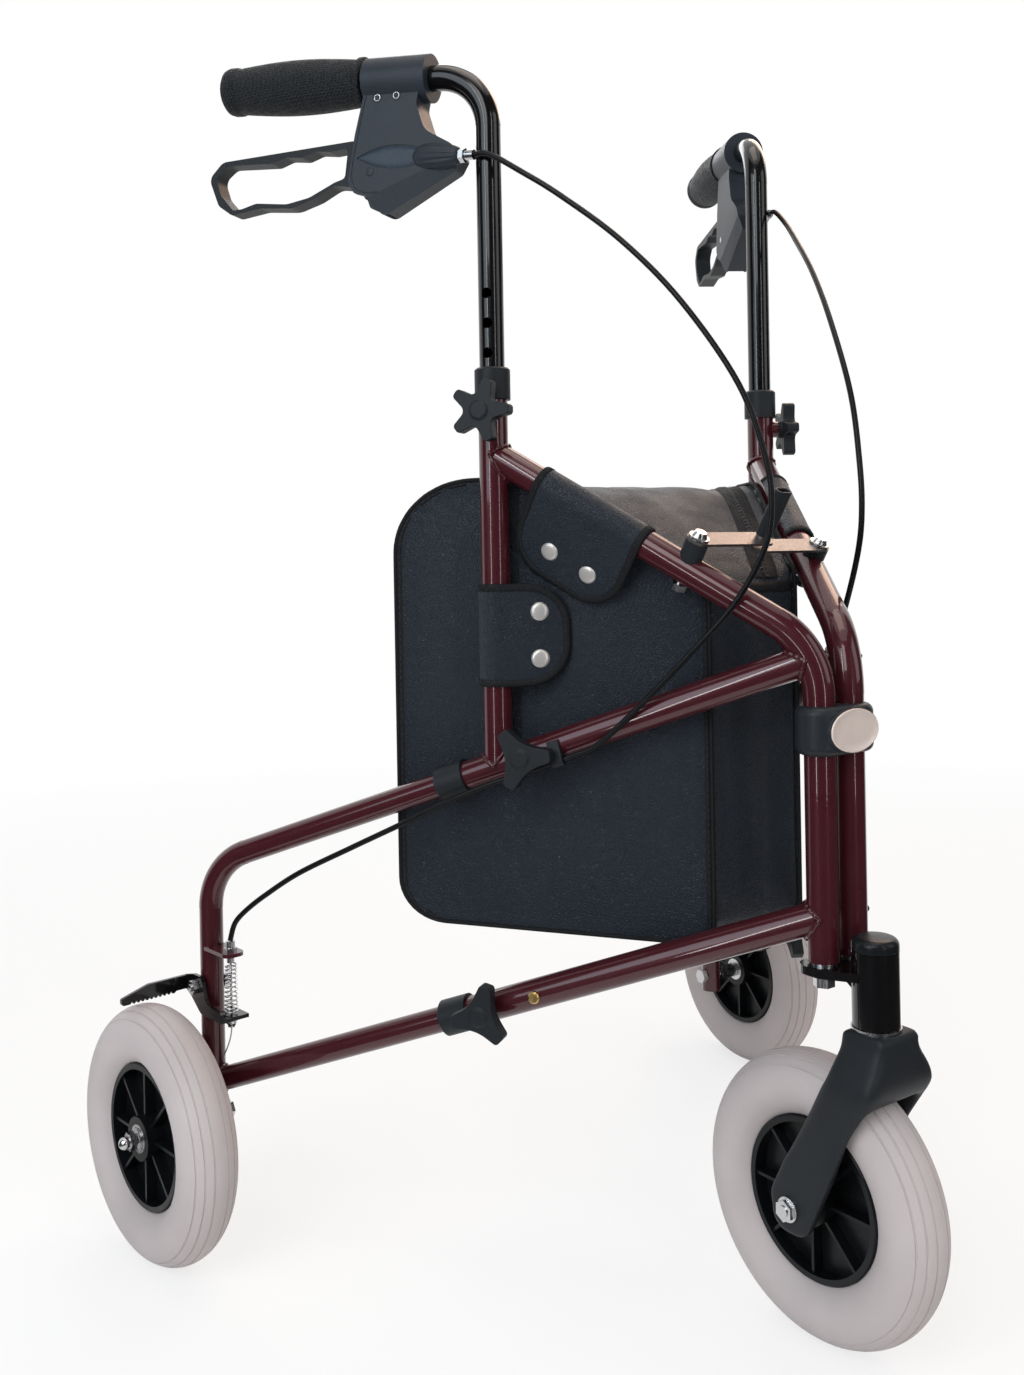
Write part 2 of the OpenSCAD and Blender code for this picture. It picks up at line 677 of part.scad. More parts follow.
// Brake housing: a clamp on the handle tube, a waisted body, a ribbed nose and the lever's slot
clamp_on = [45, 98];
clamp_r = 18;
lever_pivot = [88, -72];
nose_dip = 6;
nose_turn = 9;
nose_tip = 13;
nose_root = 40;
slot_gap = 0.6;
screw_at = [[85, -16], [69, -15]];
screw_d = 6;
screw_depth = 6;
lens_at = [67, -61.5];
lens_r = 65;
lens_h = 18.6;
lens_depth = 0.6;
body_outline = [[96, -8, 4], [103, -44, 20], [107, -80, 5], [101, -88, 3], [90, -91, 2], [88, -99, 4], [74, -105, 8],
    [18, -73, 4], [15, -62, 4], [22, -53, 6], [44, -42, 14], [52, -22, 10], [50, -8, 4]];
module brake_body() {
    slot = lever_t + 2 * slot_gap;
    color(plastic_black)
        difference() {
            handle_place()
                difference() {
                    union() {
                        translate([clamp_on[0], 0, 0]) to_x() cylinder(r = clamp_r, h = clamp_on[1] - clamp_on[0]);
                        translate([0, housing_t / 2, 0])
                            rotate([90, 0, 0]) linear_extrude(housing_t) polygon(rounded(body_outline));
                    }
                    to_x() cylinder(d = inner_d, h = grip_start);
                    translate([0, slot / 2, 0])
                        rotate([90, 0, 0])
                            linear_extrude(slot)
                                polygon([[74, -56], [84, -40], [130, -40], [130, -120], [70, -120], [74, -90]]);
                    translate([lever_pivot.x, -housing_t, lever_pivot.y])
                        to_y() cylinder(d = lever_pin_d, h = 2 * housing_t);
                    for (p = screw_at)
                        translate([p.x, housing_t / 2 - screw_depth, p.y]) to_y() cylinder(d = screw_d, h = clamp_r);
                    translate([lens_at.x, housing_t / 2 + past, lens_at.y])
                        rotate([90, 0, 0])
                            linear_extrude(lens_depth + past)
                                intersection() {
                                    translate([0, lens_r - lens_h / 2]) circle(r = lens_r);
                                    translate([0, lens_h / 2 - lens_r]) circle(r = lens_r);
                                }
                }
            nose_place() translate([0, 0, -nose_root]) cylinder(d = adjuster_d, h = 1.5 * nose_root);
        }
}

// Place along the start of the upper cable, with z running back into the housing
module nose_place() {
    translate(cable_start)
        rotate([0, 90 - nose_dip, -nose_turn])
            children();
}
nose_outline = [[5, nose_tip], [5, 15], [6.6, 15.6], [6.6, 17.4], [5.8, 18], [5.8, 19.6], [7.6, 20.2], [7.6, 22],
    [6.8, 22.6], [6.8, 24.2], [8.6, 24.8], [8.6, 26.6], [7.8, 27.2], [7.8, 28.8], [9.2, 29.4], [9.2, nose_root]];
module brake_nose() {
    color(plastic_black)
        nose_place()
            rotate_extrude()
                polygon(concat([[adjuster_d / 2, nose_root], [adjuster_d / 2, nose_tip]], nose_outline));
}

// Lever pin, the clamp's two socket screws and the threaded cable adjuster
module brake_hardware() {
    color(steel)
        handle_place() {
            translate([lever_pivot.x, -housing_t / 2, lever_pivot.y]) to_y() cylinder(d = lever_pin_d, h = housing_t);
            for (p = screw_at)
                translate([p.x, housing_t / 2 - screw_depth, p.y])
                    to_y()
                        difference() {
                            cylinder(d = screw_d, h = screw_depth);
                            translate([0, 0, screw_depth / 2]) hex(screw_d / 2, screw_depth);
                        }
        }
    color(steel)
        nose_place() {
            translate([0, 0, face_gap]) cylinder(d = adjuster_d, h = nose_root / 2 - face_gap);
            translate([0, 0, face_gap]) cylinder(d = adjuster_d + 1.5, h = 7);
            translate([0, 0, 8]) hex(adjuster_d + 3.5, 4);
        }
}

// Brake lever: a thin band bent to a closed finger loop, wavy where the fingers lie
lever_outline = [[80, -62, 5], [106, -46.5, 4], [224, -58, 10], [236, -71, 8], [226, -93, 8], [213, -101, 6],
    [187, -96, 20], [158, -97, 20], [138, -90, 25], [121, -80.5, 12], [106, -82, 5], [84, -84, 5]];
lever_hole = [[112, -75, 4], [110.5, -52, 3], [126, -54, 8], [139, -53, 8], [151, -57.5, 8], [166, -56.5, 8],
    [178, -61, 8], [219, -61, 8], [230, -70, 8], [224, -85, 8], [212, -97, 3], [204, -96, 6], [191, -92, 12],
    [163, -93.5, 20], [143, -89, 20], [121, -78, 14]];
module lever_loop() {
    color(plastic_black)
        handle_place()
            difference() {
                translate([0, lever_t / 2, 0])
                    rotate([90, 0, 0])
                        linear_extrude(lever_t)
                            difference() {
                                polygon(rounded(lever_outline));
                                polygon(rounded(lever_hole));
                            }
                translate([lever_pivot.x, -lever_t, lever_pivot.y])
                    to_y() cylinder(d = lever_pin_d + 2 * run, h = 2 * lever_t);
            }
}

// Brake shoe: a plate on the pivot with a flange for the wire and a toothed comb across the top of the tyre
comb_x = 16;
comb_mid = comb_x + shoe_t / 2;
comb_z = wheel_r + sqrt(wheel_r * wheel_r - comb_mid * comb_mid) + shoe_gap;
comb_teeth = [27, 65];
comb_end = 72;
comb_slope = 48;
comb_h = 12.5;
comb_tip_h = 5.5;
comb_lip = 1.5;
tooth_count = 10;
tooth_h = 2;
flange_z = 190;
flange_w = 20;
flange_lip = 4;
flange_boss = 6;
arm_front = 6;
arm_heel = [10, 199];
arm_head = [-8, 6];
arm_top = shoe_pivot_z + 9;
arm_neck = [14, 7];
module comb_view() {
    pitch = (comb_teeth[1] - comb_teeth[0]) / tooth_count;
    difference() {
        polygon(rounded([[shoe_y, comb_z + comb_lip, 0.5], [comb_teeth[0] - 2 * comb_lip, comb_z + comb_lip, 1],
            [comb_teeth[0] - 1, comb_z, 0.5], [comb_end, comb_z, 2.5], [comb_end, comb_z + comb_tip_h, 2],
            [comb_slope, comb_z + comb_h, 10], [shoe_y, comb_z + comb_h, 1]]));
        for (k = [0 : tooth_count - 1])
            translate([comb_teeth[0] + k * pitch, comb_z])
                polygon([[0, -past], [pitch, -past], [pitch / 2, tooth_h]]);
    }
}
module shoe_arm() {
    plate = [[-wire_ahead - flange_w / 2, flange_z - shoe_t, 1], [-arm_front, flange_z - shoe_t, 8],
        [arm_heel.x, arm_heel.y, 6], [comb_x + shoe_t, comb_z + comb_lip, 1], [comb_x + shoe_t, comb_z + comb_h, 3],
        [arm_head[1], arm_top, 6], [arm_head[0], arm_top, 7], [-arm_neck.x, flange_z + arm_neck.y, 8],
        [-wire_ahead - flange_w / 2, flange_z + flange_lip, 2]];
    color(gloss_black)
        axle_place()
            difference() {
                union() {
                    translate([0, shoe_y + shoe_t, 0])
                        rotate([90, 0, 0]) linear_extrude(shoe_t) polygon(rounded(plate));
                    translate([-wire_ahead - flange_w / 2, -flange_w / 2, flange_z - shoe_t])
                        cube([flange_w, shoe_y + shoe_t + flange_w / 2, shoe_t]);
                    translate([comb_x, 0, 0])
                        rotate([90, 0, 90]) linear_extrude(shoe_t) comb_view();
                    translate([-wire_ahead, 0, flange_z - shoe_t - flange_boss]) cylinder(d = adjuster_d + 1, h = flange_boss);
                }
                translate([0, 0, shoe_pivot_z]) to_y() cylinder(d = shoe_bolt_d + 2 * run, h = 4 * shoe_y);
            }
}

// Return spring between the tab and the shoe's flange
adjuster_low = 6;
spring_foot = flange_z + face_gap;
spring_head = tab_z - tab_t - adjuster_low - face_gap;
spring_path = concat([[spring_r_foot, 0, spring_foot]],
    [for (i = [0 : 8 * spring_turns])
        let (t = i / (8 * spring_turns), a = 45 * i, r = spring_r_foot + (spring_r_top - spring_r_foot) * t)
        [r * cos(a), r * sin(a), spring_foot + spring_wire + (spring_head - spring_foot - 2 * spring_wire) * t]],
    [[spring_r_top, 0, spring_head]]);
spring_outs = concat([[1, 0, 0]], [for (i = [0 : 8 * spring_turns]) [cos(45 * i), sin(45 * i), 0]], [[1, 0, 0]]);
spring_gap = min([for (i = [1 : len(spring_path) - 8], j = [i + 6 : min(i + 10, len(spring_path) - 2)])
    norm(spring_path[i] - spring_path[j])]) - spring_wire;
echo(spring_gap = spring_gap);
module return_spring() {
    color(steel)
        axle_place()
            translate([-wire_ahead, 0, 0])
                swept(spring_path, spring_outs, spring_wire, 6);
}

// Wheels, with the axle along z
tread_grooves = [-50, -32, -14, 14, 32, 50];
groove_r = 0.8;
module tyre_solid() {
    color(tyre_grey)
        rotate_extrude($fn = 96)
            difference() {
                translate([tyre_r, 0]) circle(d = tyre_w);
                translate([0, -tyre_w]) square([rim_d / 2, 2 * tyre_w]);
                for (a = tread_grooves)
                    translate([tyre_r + tyre_w / 2 * cos(a), tyre_w / 2 * sin(a)]) circle(r = groove_r);
            }
}
rim_half = 14;
rim_wall = 5;
web_t = 5;
rib_t = 2.4;
rib_half = 12;
module rim_solid() {
    color(plastic_black)
        difference() {
            union() {
                rotate_extrude()
                    polygon([[0, -hub_w / 2], [hub_d / 2, -hub_w / 2], [hub_d / 2, -web_t / 2],
                        [rim_d / 2 - rim_wall, -web_t / 2], [rim_d / 2 - rim_wall, -rim_half], [rim_d / 2 - 1, -rim_half],
                        [rim_d / 2, 1 - rim_half], [rim_d / 2, rim_half - 1], [rim_d / 2 - 1, rim_half],
                        [rim_d / 2 - rim_wall, rim_half], [rim_d / 2 - rim_wall, web_t / 2], [hub_d / 2, web_t / 2],
                        [hub_d / 2, hub_w / 2], [0, hub_w / 2]]);
                for (k = [0 : rib_count - 1])
                    rotate(360 * k / rib_count)
                        translate([hub_d / 2 - 1, -rib_t / 2, -rib_half])
                            cube([rim_d / 2 - hub_d / 2 - rim_wall + 2, rib_t, 2 * rib_half]);
            }
            for (side = [-1, 1])
                translate([0, 0, side * (hub_w / 2 - bearing_w / 2) - bearing_w / 2 - (side < 0 ? past : 0)])
                    cylinder(d = bearing_d, h = bearing_w + past);
            translate([0, 0, -hub_w]) cylinder(d = axle_d + 6, h = 2 * hub_w);
        }
}
shield = 0.6;
race = 3;
module bearing(outer, inner, w) {
    rotate_extrude()
        polygon([[inner / 2, 0], [inner / 2 + race, 0], [inner / 2 + race, shield], [outer / 2 - race / 1.5, shield],
            [outer / 2 - race / 1.5, 0], [outer / 2, 0], [outer / 2, w], [outer / 2 - race / 1.5, w],
            [outer / 2 - race / 1.5, w - shield], [inner / 2 + race, w - shield], [inner / 2 + race, w], [inner / 2, w]]);
}
module bearing_pair() {
    color(steel) {
        translate([0, 0, -hub_w / 2]) bearing(bearing_d, axle_d + 2 * run, bearing_w);
        translate([0, 0, hub_w / 2 - bearing_w]) bearing(bearing_d, axle_d + 2 * run, bearing_w);
    }
}
module rear_wheel_place() {
    axle_place()
        translate([0, wheel_out, wheel_r])
            to_y() children();
}
module front_wheel_place() {
    stem_place()
        translate([0, trail, wheel_r])
            to_x() children();
}

// Knobs: winged grips on a screw that stops just short of the tube inside
knob_out = tube_d / 2 + boss_out + face_gap;
knob_hub_d = 15;
knob_foot = 3.2;
module knob(outline) {
    tip = inner_d / 2 + face_gap;
    color(plastic_black)
        to_y() {
            translate([0, 0, tip]) cylinder(d = knob_bolt_d, h = knob_out - tip + 1);
            translate([0, 0, knob_out]) cylinder(d = knob_hub_d, h = knob_foot);
            translate([0, 0, knob_out + knob_foot]) linear_extrude(knob_t) polygon(outline);
            translate([0, 0, knob_out + knob_foot + knob_t])
                cylinder(d1 = knob_hub_d, d2 = knob_hub_d - 3, h = 1.5);
        }
}
module star_grip() {
    translate([upright_s, 0, star_z]) rotate([0, 36, 0]) knob(wings(5, 23.5, 3.6, 11, 3, 5));
}
module mid_grip() {
    translate([mid_knob_at, 0, mid_at(mid_knob_at)]) rotate([0, 67, 0]) knob(wings(3, 23.5, 4.5, 10, 3, 30));
}
module low_grip() {
    translate([low_knob_at, 0, low_at(low_knob_at)]) rotate([0, 16, 0]) knob(wings(3, 23.5, 4.5, 10, 3, 30));
}

// Snap button of the knock down leg
button_up = 2.6;
button_flange = 1.5;
module snap() {
    base = inner_bore / 2 - 4;
    color(brass)
        translate([button_at, 0, low_at(button_at)])
            to_y() {
                translate([0, 0, base - button_flange]) cylinder(d = button_d + 2, h = button_flange);
                translate([0, 0, base]) cylinder(d = button_d, h = tube_d / 2 + button_up - base - 1);
                translate([0, 0, tube_d / 2 + button_up - 1]) cylinder(d1 = button_d, d2 = button_d - 2.4, h = 1);
            }
}

// Brace link from the frame's screw to the middle, where the two lie one over the other
link_l = post_gap / 2 + brace_s * sin(spread);
rivet_d = 11;
rivet_h = 2.4;
module brace_strip(upper) {
    z = link_z(upper);
    color(zinc)
        brace_place() {
            translate([0, 0, z])
                difference() {
                    union() {
                        cylinder(d = link_w, h = link_t);
                        translate([0, -link_w / 2, 0]) cube([link_l, link_w, link_t]);
                        translate([link_l, 0, 0]) cylinder(d = link_w, h = link_t);
                    }
                    translate([0, 0, -past]) cylinder(d = brace_screw_d + 2 * run, h = link_t + 2 * past);
                }
            translate([link_l, 0, upper ? z + link_t : z - rivet_h]) cylinder(d = rivet_d, h = rivet_h);
        }
}
pull_w = 18;
pull_t = 11;
pull_wall = 2.4;
module pull_handle() {
    color(plastic_black)
        right()
            brace_place()
                translate([link_l, 0, link_z(true) + link_t + rivet_h])
                    difference() {
                        pull_form(0, 0, pull_l);
                        pull_form(pull_wall, pull_l / 4, pull_l);
                    }
}
module pull_form(inset, from, to) {
    r = pull_t / 2 - inset;
    reach = pull_w / 2 - pull_t / 2;
    translate([0, 0, from])
        linear_extrude(to - from + (inset > 0 ? past : 0))
            union() {
                translate([-reach, 0]) circle(r = r);
                translate([reach, 0]) circle(r = r);
                translate([-reach, -r]) square([2 * reach, 2 * r]);
            }
}

// Steering column: plate under the posts, head tube and gusset in one welded piece
plate_r = 15;
plate_z = post_foot_z - face_gap - washer_t - plate_t;
module column() {
    head_y = -stem_ahead;
    color(gloss_black)
        translate([0, -mid_y, 0])
            difference() {
                union() {
                    translate([0, 0, plate_z])
                        linear_extrude(plate_t)
                            polygon(rounded([[-post_gap / 2 - plate_r, plate_r, 12], [post_gap / 2 + plate_r, plate_r, 12],
                                [post_gap / 2 + plate_r, -plate_r / 2, 8], [head_d / 2, head_y, 3],
                                [-head_d / 2, head_y, 3], [-post_gap / 2 - plate_r, -plate_r / 2, 8]]));
                    translate([0, head_y, head_z]) cylinder(d = head_d, h = head_h);
                    translate([-plate_t / 2, head_y, 0])
                        rotate([90, 0, 90])
                            linear_extrude(plate_t)
                                polygon([[0, head_z + 8], [stem_ahead + 2, plate_z + 1], [0, plate_z + 1]]);
                }
                translate([0, head_y, head_z - past]) cylinder(d = head_bore, h = head_h + 2 * past);
                for (side = [-1, 1])
                    translate([side * post_gap / 2, 0, plate_z - past])
                        cylinder(d = post_bolt_d, h = plate_t + 2 * past);
            }
}
cap_h = 10;
cap_skirt = 4;
module head_cap() {
    top = head_z + head_h;
    r = head_d / 2;
    color(plastic_black)
        stem_place()
            rotate_extrude()
                polygon(concat([[0, top], [head_bore / 2 - 3, top], [head_bore / 2 - 3, top - cap_skirt],
                    [head_bore / 2, top - cap_skirt], [head_bore / 2, top], [r, top]],
                    [for (k = [0 : arc_n]) [r - cap_h / 2 * (1 - cos(90 * k / arc_n)), top + cap_h * (0.4 + 0.5 * sin(90 * k / arc_n))]],
                    [[0, top + cap_h]]));
}
module head_bearings() {
    color(steel)
        stem_place() {
            translate([0, 0, head_z + 1]) bearing(head_bore, stem_d + 2 * run, stem_bearing_w);
            translate([0, 0, stem_top - stem_bearing_w]) bearing(head_bore, stem_d + 2 * run, stem_bearing_w);
        }
}
stem_top = head_z + head_h - cap_skirt - 5;
bolt_head = 8;
module column_bolts() {
    color(steel)
        for (side = [-1, 1])
            translate([side * post_gap / 2, -mid_y, plate_z]) {
                translate([0, 0, -washer_t - bolt_head]) hex(nut_af, bolt_head);
                translate([0, 0, -washer_t]) cylinder(d = nut_af + washer_over, h = washer_t);
                cylinder(d = post_bolt_d, h = plate_t + washer_t + post_plug - 2);
                translate([0, 0, plate_t]) cylinder(d = tube_d - 3, h = washer_t);
            }
}

// Plastic band round both posts, with the bare oval plate on its front
clamp_round = 6;
badge_w = 37;
badge_h = 30;
badge_t = 1.5;
module clamp_section() {
    r = tube_d / 2 + clamp_wall;
    polygon(rounded([[-r, -clamp_h / 2, clamp_round], [r, -clamp_h / 2, clamp_round],
        [r, clamp_h / 2, clamp_round], [-r, clamp_h / 2, clamp_round]]));
}
module column_clamp() {
    color(plastic_black)
        translate([0, -mid_y, clamp_z])
            difference() {
                union() {
                    for (side = [-1, 1])
                        translate([side * post_gap / 2, 0, 0])
                            rotate_extrude()
                                intersection() {
                                    clamp_section();
                                    translate([0, -clamp_h]) square([2 * tube_d, 2 * clamp_h]);
                                }
                    translate([-post_gap / 2, 0, 0])
                        rotate([90, 0, 90]) linear_extrude(post_gap) clamp_section();
                }
                for (side = [-1, 1])
                    translate([side * post_gap / 2, 0, -clamp_h])
                        cylinder(d = tube_d + 2 * run, h = 2 * clamp_h);
            }
}
module oval_plate() {
    color(steel)
        translate([0, -mid_y - tube_d / 2 - clamp_wall, clamp_z])
            rotate([90, 0, 0])
                linear_extrude(badge_t)
                    polygon([for (a = [0 : 7.5 : 352.5]) [badge_w / 2 * cos(a), badge_h / 2 * sin(a)]]);
}

// Fork: side outline and front outline crossed, with the tyre's slot cut out
fork_top = head_z - face_gap - washer_t;
fork_half = tyre_w / 2 + fork_gap + fork_arm;
fork_neck = [20, 14];
fork_shoulder = [19, 200];
fork_chin = [24, 197];
fork_throat_z = 160;
fork_heel = [18, 108];
fork_foot = [13, 15];
fork_foot_z = 82;
fork_collar = 19.5;
fork_swell = 20.5;
fork_collar_h = 8;
// Depth of the steering pin in the fork
stem_seat = 24;
module fork_solid() {
    side_view = [[-fork_neck[0], fork_top, 5], [fork_neck[1], fork_top, 5], [fork_shoulder.x, fork_shoulder.y, 20],
        [trail + fork_heel.x, fork_heel.y, 14], [trail + fork_foot[1], fork_foot_z, 14],
        [trail - fork_foot[0], fork_foot_z, 13], [0, fork_throat_z, 40], [-fork_chin.x, fork_chin.y, 14]];
    front_view = [[-fork_collar, fork_top + past, 0.5], [fork_collar, fork_top + past, 0.5],
        [fork_swell, fork_top - fork_collar_h, 8], [fork_half, fork_shoulder.y, 26], [fork_half, fork_foot_z - 4, 1],
        [-fork_half, fork_foot_z - 4, 1], [-fork_half, fork_shoulder.y, 26], [-fork_swell, fork_top - fork_collar_h, 8]];
    color(plastic_black)
        stem_place()
            difference() {
                intersection() {
                    translate([-2 * fork_half, 0, 0])
                        rotate([90, 0, 90]) linear_extrude(4 * fork_half) polygon(rounded(side_view));
                    translate([0, 2 * wheel_r, 0])
                        rotate([90, 0, 0]) linear_extrude(4 * wheel_r) polygon(rounded(front_view));
                }
                translate([-tyre_w / 2 - fork_gap, trail, wheel_r])
                    to_x() cylinder(r = wheel_r + crown_gap, h = tyre_w + 2 * fork_gap, $fn = 96);
                translate([-2 * fork_half, trail, wheel_r]) to_x() cylinder(d = axle_d, h = 4 * fork_half);
                translate([0, 0, fork_top - stem_seat]) cylinder(d = stem_d, h = stem_seat + 6 * past);
            }
}
module steering_pin() {
    color(steel)
        stem_place() {
            translate([0, 0, fork_top - stem_seat]) cylinder(d = stem_d, h = stem_top + 3 - fork_top + stem_seat);
            translate([0, 0, fork_top]) cylinder(d = head_d + 2, h = washer_t);
            translate([0, 0, stem_top + face_gap]) hex(stem_d + 5, 3);
        }
}
module fork_axle() {
    spacer = tyre_w / 2 + fork_gap - hub_w / 2 - face_gap;
    color(steel)
        stem_place()
            translate([0, trail, wheel_r])
                to_x() {
                    translate([0, 0, -fork_half - nut_h]) cylinder(d = axle_d, h = 2 * (fork_half + nut_h));
                    for (side = [0, 1])
                        mirror([0, 0, side]) {
                            translate([0, 0, fork_half]) cylinder(d = nut_af + washer_over, h = washer_t);
                            translate([0, 0, fork_half + washer_t]) hex(nut_af, nut_h - washer_t - 1);
                            translate([0, 0, hub_w / 2 + face_gap]) cylinder(d = axle_d + 2 * spacer_wall, h = spacer);
                        }
                }
}

// Pouch: a wedge between the frames whose top falls to the front
function pouch_half(y) =
    let (off = tube_d / 2 + pouch_gap, s = (y - off * sin(spread)) / cos(spread))
    post_gap / 2 + s * sin(spread) - off * cos(spread);
module pouch_solid() {
    side_view = [[pouch_front, pouch_floor, 14], [pouch_rear, pouch_floor, 32], [pouch_rear, pouch_top, 56],
        [pouch_ridge, pouch_top, 40], [pouch_front, pouch_nose, 14]];
    color(vinyl)
        translate([0, -mid_y, 0])
            intersection() {
                translate([-pouch_rear, 0, 0])
                    rotate([90, 0, 90]) linear_extrude(2 * pouch_rear) polygon(rounded(side_view));
                linear_extrude(2 * pouch_top)
                    polygon([[-pouch_half(pouch_front), pouch_front], [-pouch_half(pouch_rear), pouch_rear],
                        [pouch_half(pouch_rear), pouch_rear], [pouch_half(pouch_front), pouch_front]]);
            }
}

module front_bracket() { column(); }
module stem_cap() { head_cap(); }
module post_clamp() { column_clamp(); }
module badge() { oval_plate(); }
module stem_bearings() { head_bearings(); }
module post_bolts() { column_bolts(); }
module pouch() { pouch_solid(); }
module fork() { fork_solid(); }
module fork_stem() { steering_pin(); }
module front_axle() { fork_axle(); }
module front_tyre() { front_wheel_place() tyre_solid(); }
module front_rim() { front_wheel_place() rim_solid(); }
module front_bearings() { front_wheel_place() bearing_pair(); }
module brace_handle() { pull_handle(); }
module right_frame() { right() frame_tubes(); }
module right_collars() { right() collar_set(true); }
module right_leg() { right() rear_leg(); }
module right_axle() { right() rear_axle(); }
module right_pivot_bolts() { right() pivot_bolt_set(true); }
module right_cable_lower() { right() cable_below(); }
module right_pouch_flaps() { right() flap_set(); }
module right_handle_tube() { right() handle_bar(); }
module right_grip() { right() rubber_grip(); }
module right_brake_housing() {
    right() {
        brake_body();
        brake_nose();
    }
}
module right_housing_hardware() { right() brake_hardware(); }
module right_cable_upper() { right() cable_above(); }
module right_brake_lever() { right() lever_loop(); }
module right_brake_shoe() { right() shoe_arm(); }
module right_brake_spring() { right() return_spring(); }
module right_tyre() { right() rear_wheel_place() tyre_solid(); }
module right_rim() { right() rear_wheel_place() rim_solid(); }
module right_bearings() { right() rear_wheel_place() bearing_pair(); }
module right_star_knob() { right() star_grip(); }
module right_mid_knob() { right() mid_grip(); }
module right_low_knob() { right() low_grip(); }
module right_snap_button() { right() snap(); }
module right_brace_link() { right() brace_strip(true); }
module left_frame() { left() frame_tubes(); }
module left_collars() { left() collar_set(false); }
module left_leg() { left() rear_leg(); }
module left_axle() { left() rear_axle(); }
module left_pivot_bolts() { left() pivot_bolt_set(false); }
module left_cable_lower() { left() cable_below(); }
module left_pouch_flaps() { left() flap_set(); }
module left_handle_tube() { left() handle_bar(); }
module left_grip() { left() rubber_grip(); }
module left_brake_housing() {
    left() {
        brake_body();
        brake_nose();
    }
}
module left_housing_hardware() { left() brake_hardware(); }
module left_cable_upper() { left() cable_above(); }
module left_brake_lever() { left() lever_loop(); }
module left_brake_shoe() { left() shoe_arm(); }
module left_brake_spring() { left() return_spring(); }
module left_tyre() { left() rear_wheel_place() tyre_solid(); }
module left_rim() { left() rear_wheel_place() rim_solid(); }
module left_bearings() { left() rear_wheel_place() bearing_pair(); }
module left_star_knob() { left() star_grip(); }
module left_mid_knob() { left() mid_grip(); }
module left_low_knob() { left() low_grip(); }
module left_snap_button() { left() snap(); }
module left_brace_link() { left() brace_strip(false); }

front_bracket();
stem_cap();
post_clamp();
badge();
stem_bearings();
post_bolts();
pouch();
fork();
fork_stem();
front_axle();
front_tyre();
front_rim();
front_bearings();
brace_handle();
right_frame();
right_collars();
right_leg();
right_axle();
right_pivot_bolts();
right_cable_lower();
right_pouch_flaps();
right_handle_tube();
right_grip();
right_brake_housing();
right_housing_hardware();
right_cable_upper();
right_brake_lever();
right_brake_shoe();
right_brake_spring();
right_tyre();
right_rim();
right_bearings();
right_star_knob();
right_mid_knob();
right_low_knob();
right_snap_button();
right_brace_link();
left_frame();
left_collars();
left_leg();
left_axle();
left_pivot_bolts();
left_cable_lower();
left_pouch_flaps();
left_handle_tube();
left_grip();
left_brake_housing();
left_housing_hardware();
left_cable_upper();
left_brake_lever();
left_brake_shoe();
left_brake_spring();
left_tyre();
left_rim();
left_bearings();
left_star_knob();
left_mid_knob();
left_low_knob();
left_snap_button();
left_brace_link();
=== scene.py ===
import json
from math import acos, atan2, copysign, cos, pi, radians, sin, sqrt, tan
import bpy, bmesh
from mathutils import Vector, Matrix, noise
from mathutils.bvhtree import BVHTree


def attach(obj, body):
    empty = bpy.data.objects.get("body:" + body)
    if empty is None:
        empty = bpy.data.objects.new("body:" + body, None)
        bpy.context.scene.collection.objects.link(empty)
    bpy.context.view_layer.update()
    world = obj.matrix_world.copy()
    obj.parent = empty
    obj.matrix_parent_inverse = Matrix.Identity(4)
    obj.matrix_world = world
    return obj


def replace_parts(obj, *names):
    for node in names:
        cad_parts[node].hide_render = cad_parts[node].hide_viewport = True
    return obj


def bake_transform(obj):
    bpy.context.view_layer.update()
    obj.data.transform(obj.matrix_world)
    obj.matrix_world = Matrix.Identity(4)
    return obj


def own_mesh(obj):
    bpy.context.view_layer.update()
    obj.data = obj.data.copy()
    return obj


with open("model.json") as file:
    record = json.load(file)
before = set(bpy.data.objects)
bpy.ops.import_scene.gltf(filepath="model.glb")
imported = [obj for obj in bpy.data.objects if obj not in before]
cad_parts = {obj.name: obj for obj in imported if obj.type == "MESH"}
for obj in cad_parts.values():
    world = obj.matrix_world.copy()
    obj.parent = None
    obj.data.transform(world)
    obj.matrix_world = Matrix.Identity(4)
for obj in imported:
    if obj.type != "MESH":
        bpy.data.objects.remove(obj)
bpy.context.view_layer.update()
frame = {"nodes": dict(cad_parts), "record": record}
cadNodes = frame["nodes"]
scene = bpy.context.scene
bodyOf = {node: body for body, nodes in frame["record"]["behaviour"]["bodies"].items() for node in nodes}
slotOf = {part["node"]: part["material_slot"] for part in frame["record"]["subparts"]}
print("frame loaded:", len(cadNodes), "nodes")


# places on the walker, in millimetres along its own tubes

walker = {"spread": 33, "postGap": 30, "midY": 213.247, "tubeR": 11.1, "innerR": 9.525,
          "rake": 19.6, "lowZ": 303, "midZ": 482, "peakZ": 488, "upperRise": 31,
          "uprightS": 238, "legS": 495, "toeIn": 6, "handleZ": 917, "handleRise": 4.5}
sides = ("right", "left")
midY, uprightS = walker["midY"], walker["uprightS"]
sideTurn = radians(90 + walker["spread"])
wheelTurn = radians(walker["toeIn"] - walker["spread"])
handleTurn = radians(walker["handleRise"])
spread = radians(walker["spread"])
rake, upperRise = radians(walker["rake"]), radians(walker["upperRise"])


def midAt(s):   # heights of the frame's tubes
    return walker["midZ"] - s * tan(rake)


def lowAt(s):
    return walker["lowZ"] - s * tan(rake)


def upperAt(s):
    return walker["peakZ"] + s * tan(upperRise)


def sidePoint(side, s, o, z):   # s back along the side frame, o outwards, z up
    x = -walker["postGap"] / 2 + s * cos(sideTurn) - o * sin(sideTurn)
    y = -midY + s * sin(sideTurn) + o * cos(sideTurn)
    return Vector((-x if side == "left" else x, y, z)) / 1000


